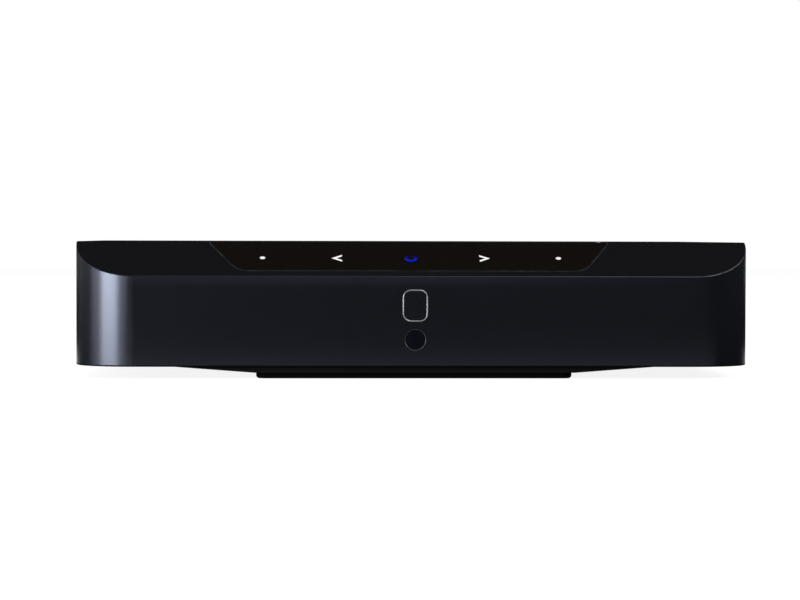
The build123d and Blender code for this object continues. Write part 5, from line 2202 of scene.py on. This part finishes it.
@dataclass
class PaleCard:
    """A pale card on the floor behind and under the object, that only gloss can see.

    Args:
        front: where its light starts to rise, in metres along Y.
        full: where it has risen.
        back: its far edge.
        bright_half: half of the width that is fully bright, in metres.
        half_width: half of the card's width, where its light has faded out.
        under: its brightness under the object.
        behind: its brightness behind the object.
        edge: the object's rear, in metres along Y.
        step: over how much depth the one brightness goes over into the other.
        lift: how high the card lies, in metres.
    """

    front: float = -0.070
    full: float = 0.040
    back: float = 0.50
    bright_half: float = 0.12
    half_width: float = 0.21
    under: float = 1.8
    behind: float = 0.8
    edge: float = 0.082
    step: float = 0.020
    lift: float = 1.2 * MM

    def build(self) -> None:
        """Makes the card, just over the dark one."""
        Bench.clear()
        middle = (0.0, (self.front + self.back) / 2, self.lift)
        bpy.ops.mesh.primitive_plane_add(size=1.0, location=middle)
        card = Bench.begin("pale_card", (2 * self.half_width, self.back - self.front, 1.0))
        bpy.ops.object.mode_set(mode="OBJECT")
        material, sheet = blank_material("pale_card")
        place = sheet.place()
        depth = sheet.along(place, Axis.Y)
        rise = sheet.remap(depth, self.front, self.full, 0.0, self.under)
        fall = sheet.remap(depth, self.edge, self.edge + self.step, 1.0, self.behind / self.under)
        aside = sheet.calc("ABSOLUTE", sheet.along(place, Axis.X))
        fade = sheet.remap(aside, self.bright_half, self.half_width, 1.0, 0.0)
        paper = sheet.add("Emission")
        sheet.put(paper.inputs["Strength"], sheet.product(rise, fall, fade))
        sheet.show(paper)
        Backdrop.for_gloss(card, material)
        log.info("pale card %.2f m wide", 2 * self.half_width)


@dataclass
class StudioWorld:
    """White surround, and a plain even light from all sides.

    Args:
        ambient: strength of the even light.
    """

    ambient: float = 0.52

    def build(self) -> None:
        """Makes the world and sets the plain view transform."""
        world = bpy.data.worlds.new("studio_world")
        world.use_nodes = True
        world.node_tree.nodes.clear()
        sheet = NodeSheet(world.node_tree)
        light = sheet.add("Background")
        sheet.put(light.inputs["Color"], (1.0, 1.0, 1.0))
        sheet.put(light.inputs["Strength"], sheet.mix(Backdrop.seen(sheet), self.ambient, 1.0))
        sheet.put(sheet.add("OutputWorld").inputs["Surface"], light.outputs[0])
        bpy.context.scene.world = world
        bpy.context.scene.view_settings.view_transform = "Standard"
        log.info("world light %.2f", self.ambient)


def main() -> None:
    """Builds the studio and the amplifier's looks, in order."""
    logging.basicConfig(level=logging.INFO, format="%(name)s: %(message)s")
    PhotoCamera().build()
    studio = (
        StudioWorld(),
        Floor(),
        DarkTent(),
        PaleCard(),
        SoftBox("left_strip", (-0.77, -0.64, 0.12), 1.4, 0.78, 0.38, 21.0),
        SoftBox("left_halo", (-0.80, -0.60, 0.12), 1.43, 2.04, 0.38, 3.6),
        SoftBox("left_fill", (-0.92, 0.38, 0.20), 1.5, 1.3, 0.9, 0.35),
        SoftBox("right_fill", (0.95, 0.12, 0.20), 1.5, 1.6, 0.9, 0.06),
        SoftBox("right_high", (0.90, -0.05, 0.42), 1.5, 1.2, 0.35, 4.0),
        SoftBox("right_front", (0.24, -0.86, 0.44), 1.4, 0.4, 0.5, 3.8),
        SoftBox("right_arc", (0.62, -0.62, 0.48), 1.4, 0.50, 0.26, 10.0),
        SoftBox("rear_left", (-0.78, 0.78, 0.39), 1.7, 0.8, 0.8, 8.0, mirrored=False),
        SoftBox("rear_right", (0.78, 0.78, 0.39), 1.7, 0.8, 0.8, 8.0, mirrored=False),
    )
    for stage in studio:
        stage.build()
    groups = (
        Casing(),
        TouchBand(),
        ReceiverWindow(),
        Badge(),
        Boards(),
        AmplifierStage(),
        PowerSupply(),
        RearSockets(),
        Terminals(),
    )
    for group in groups:
        group.build()


if __name__ == "__main__":
    main()
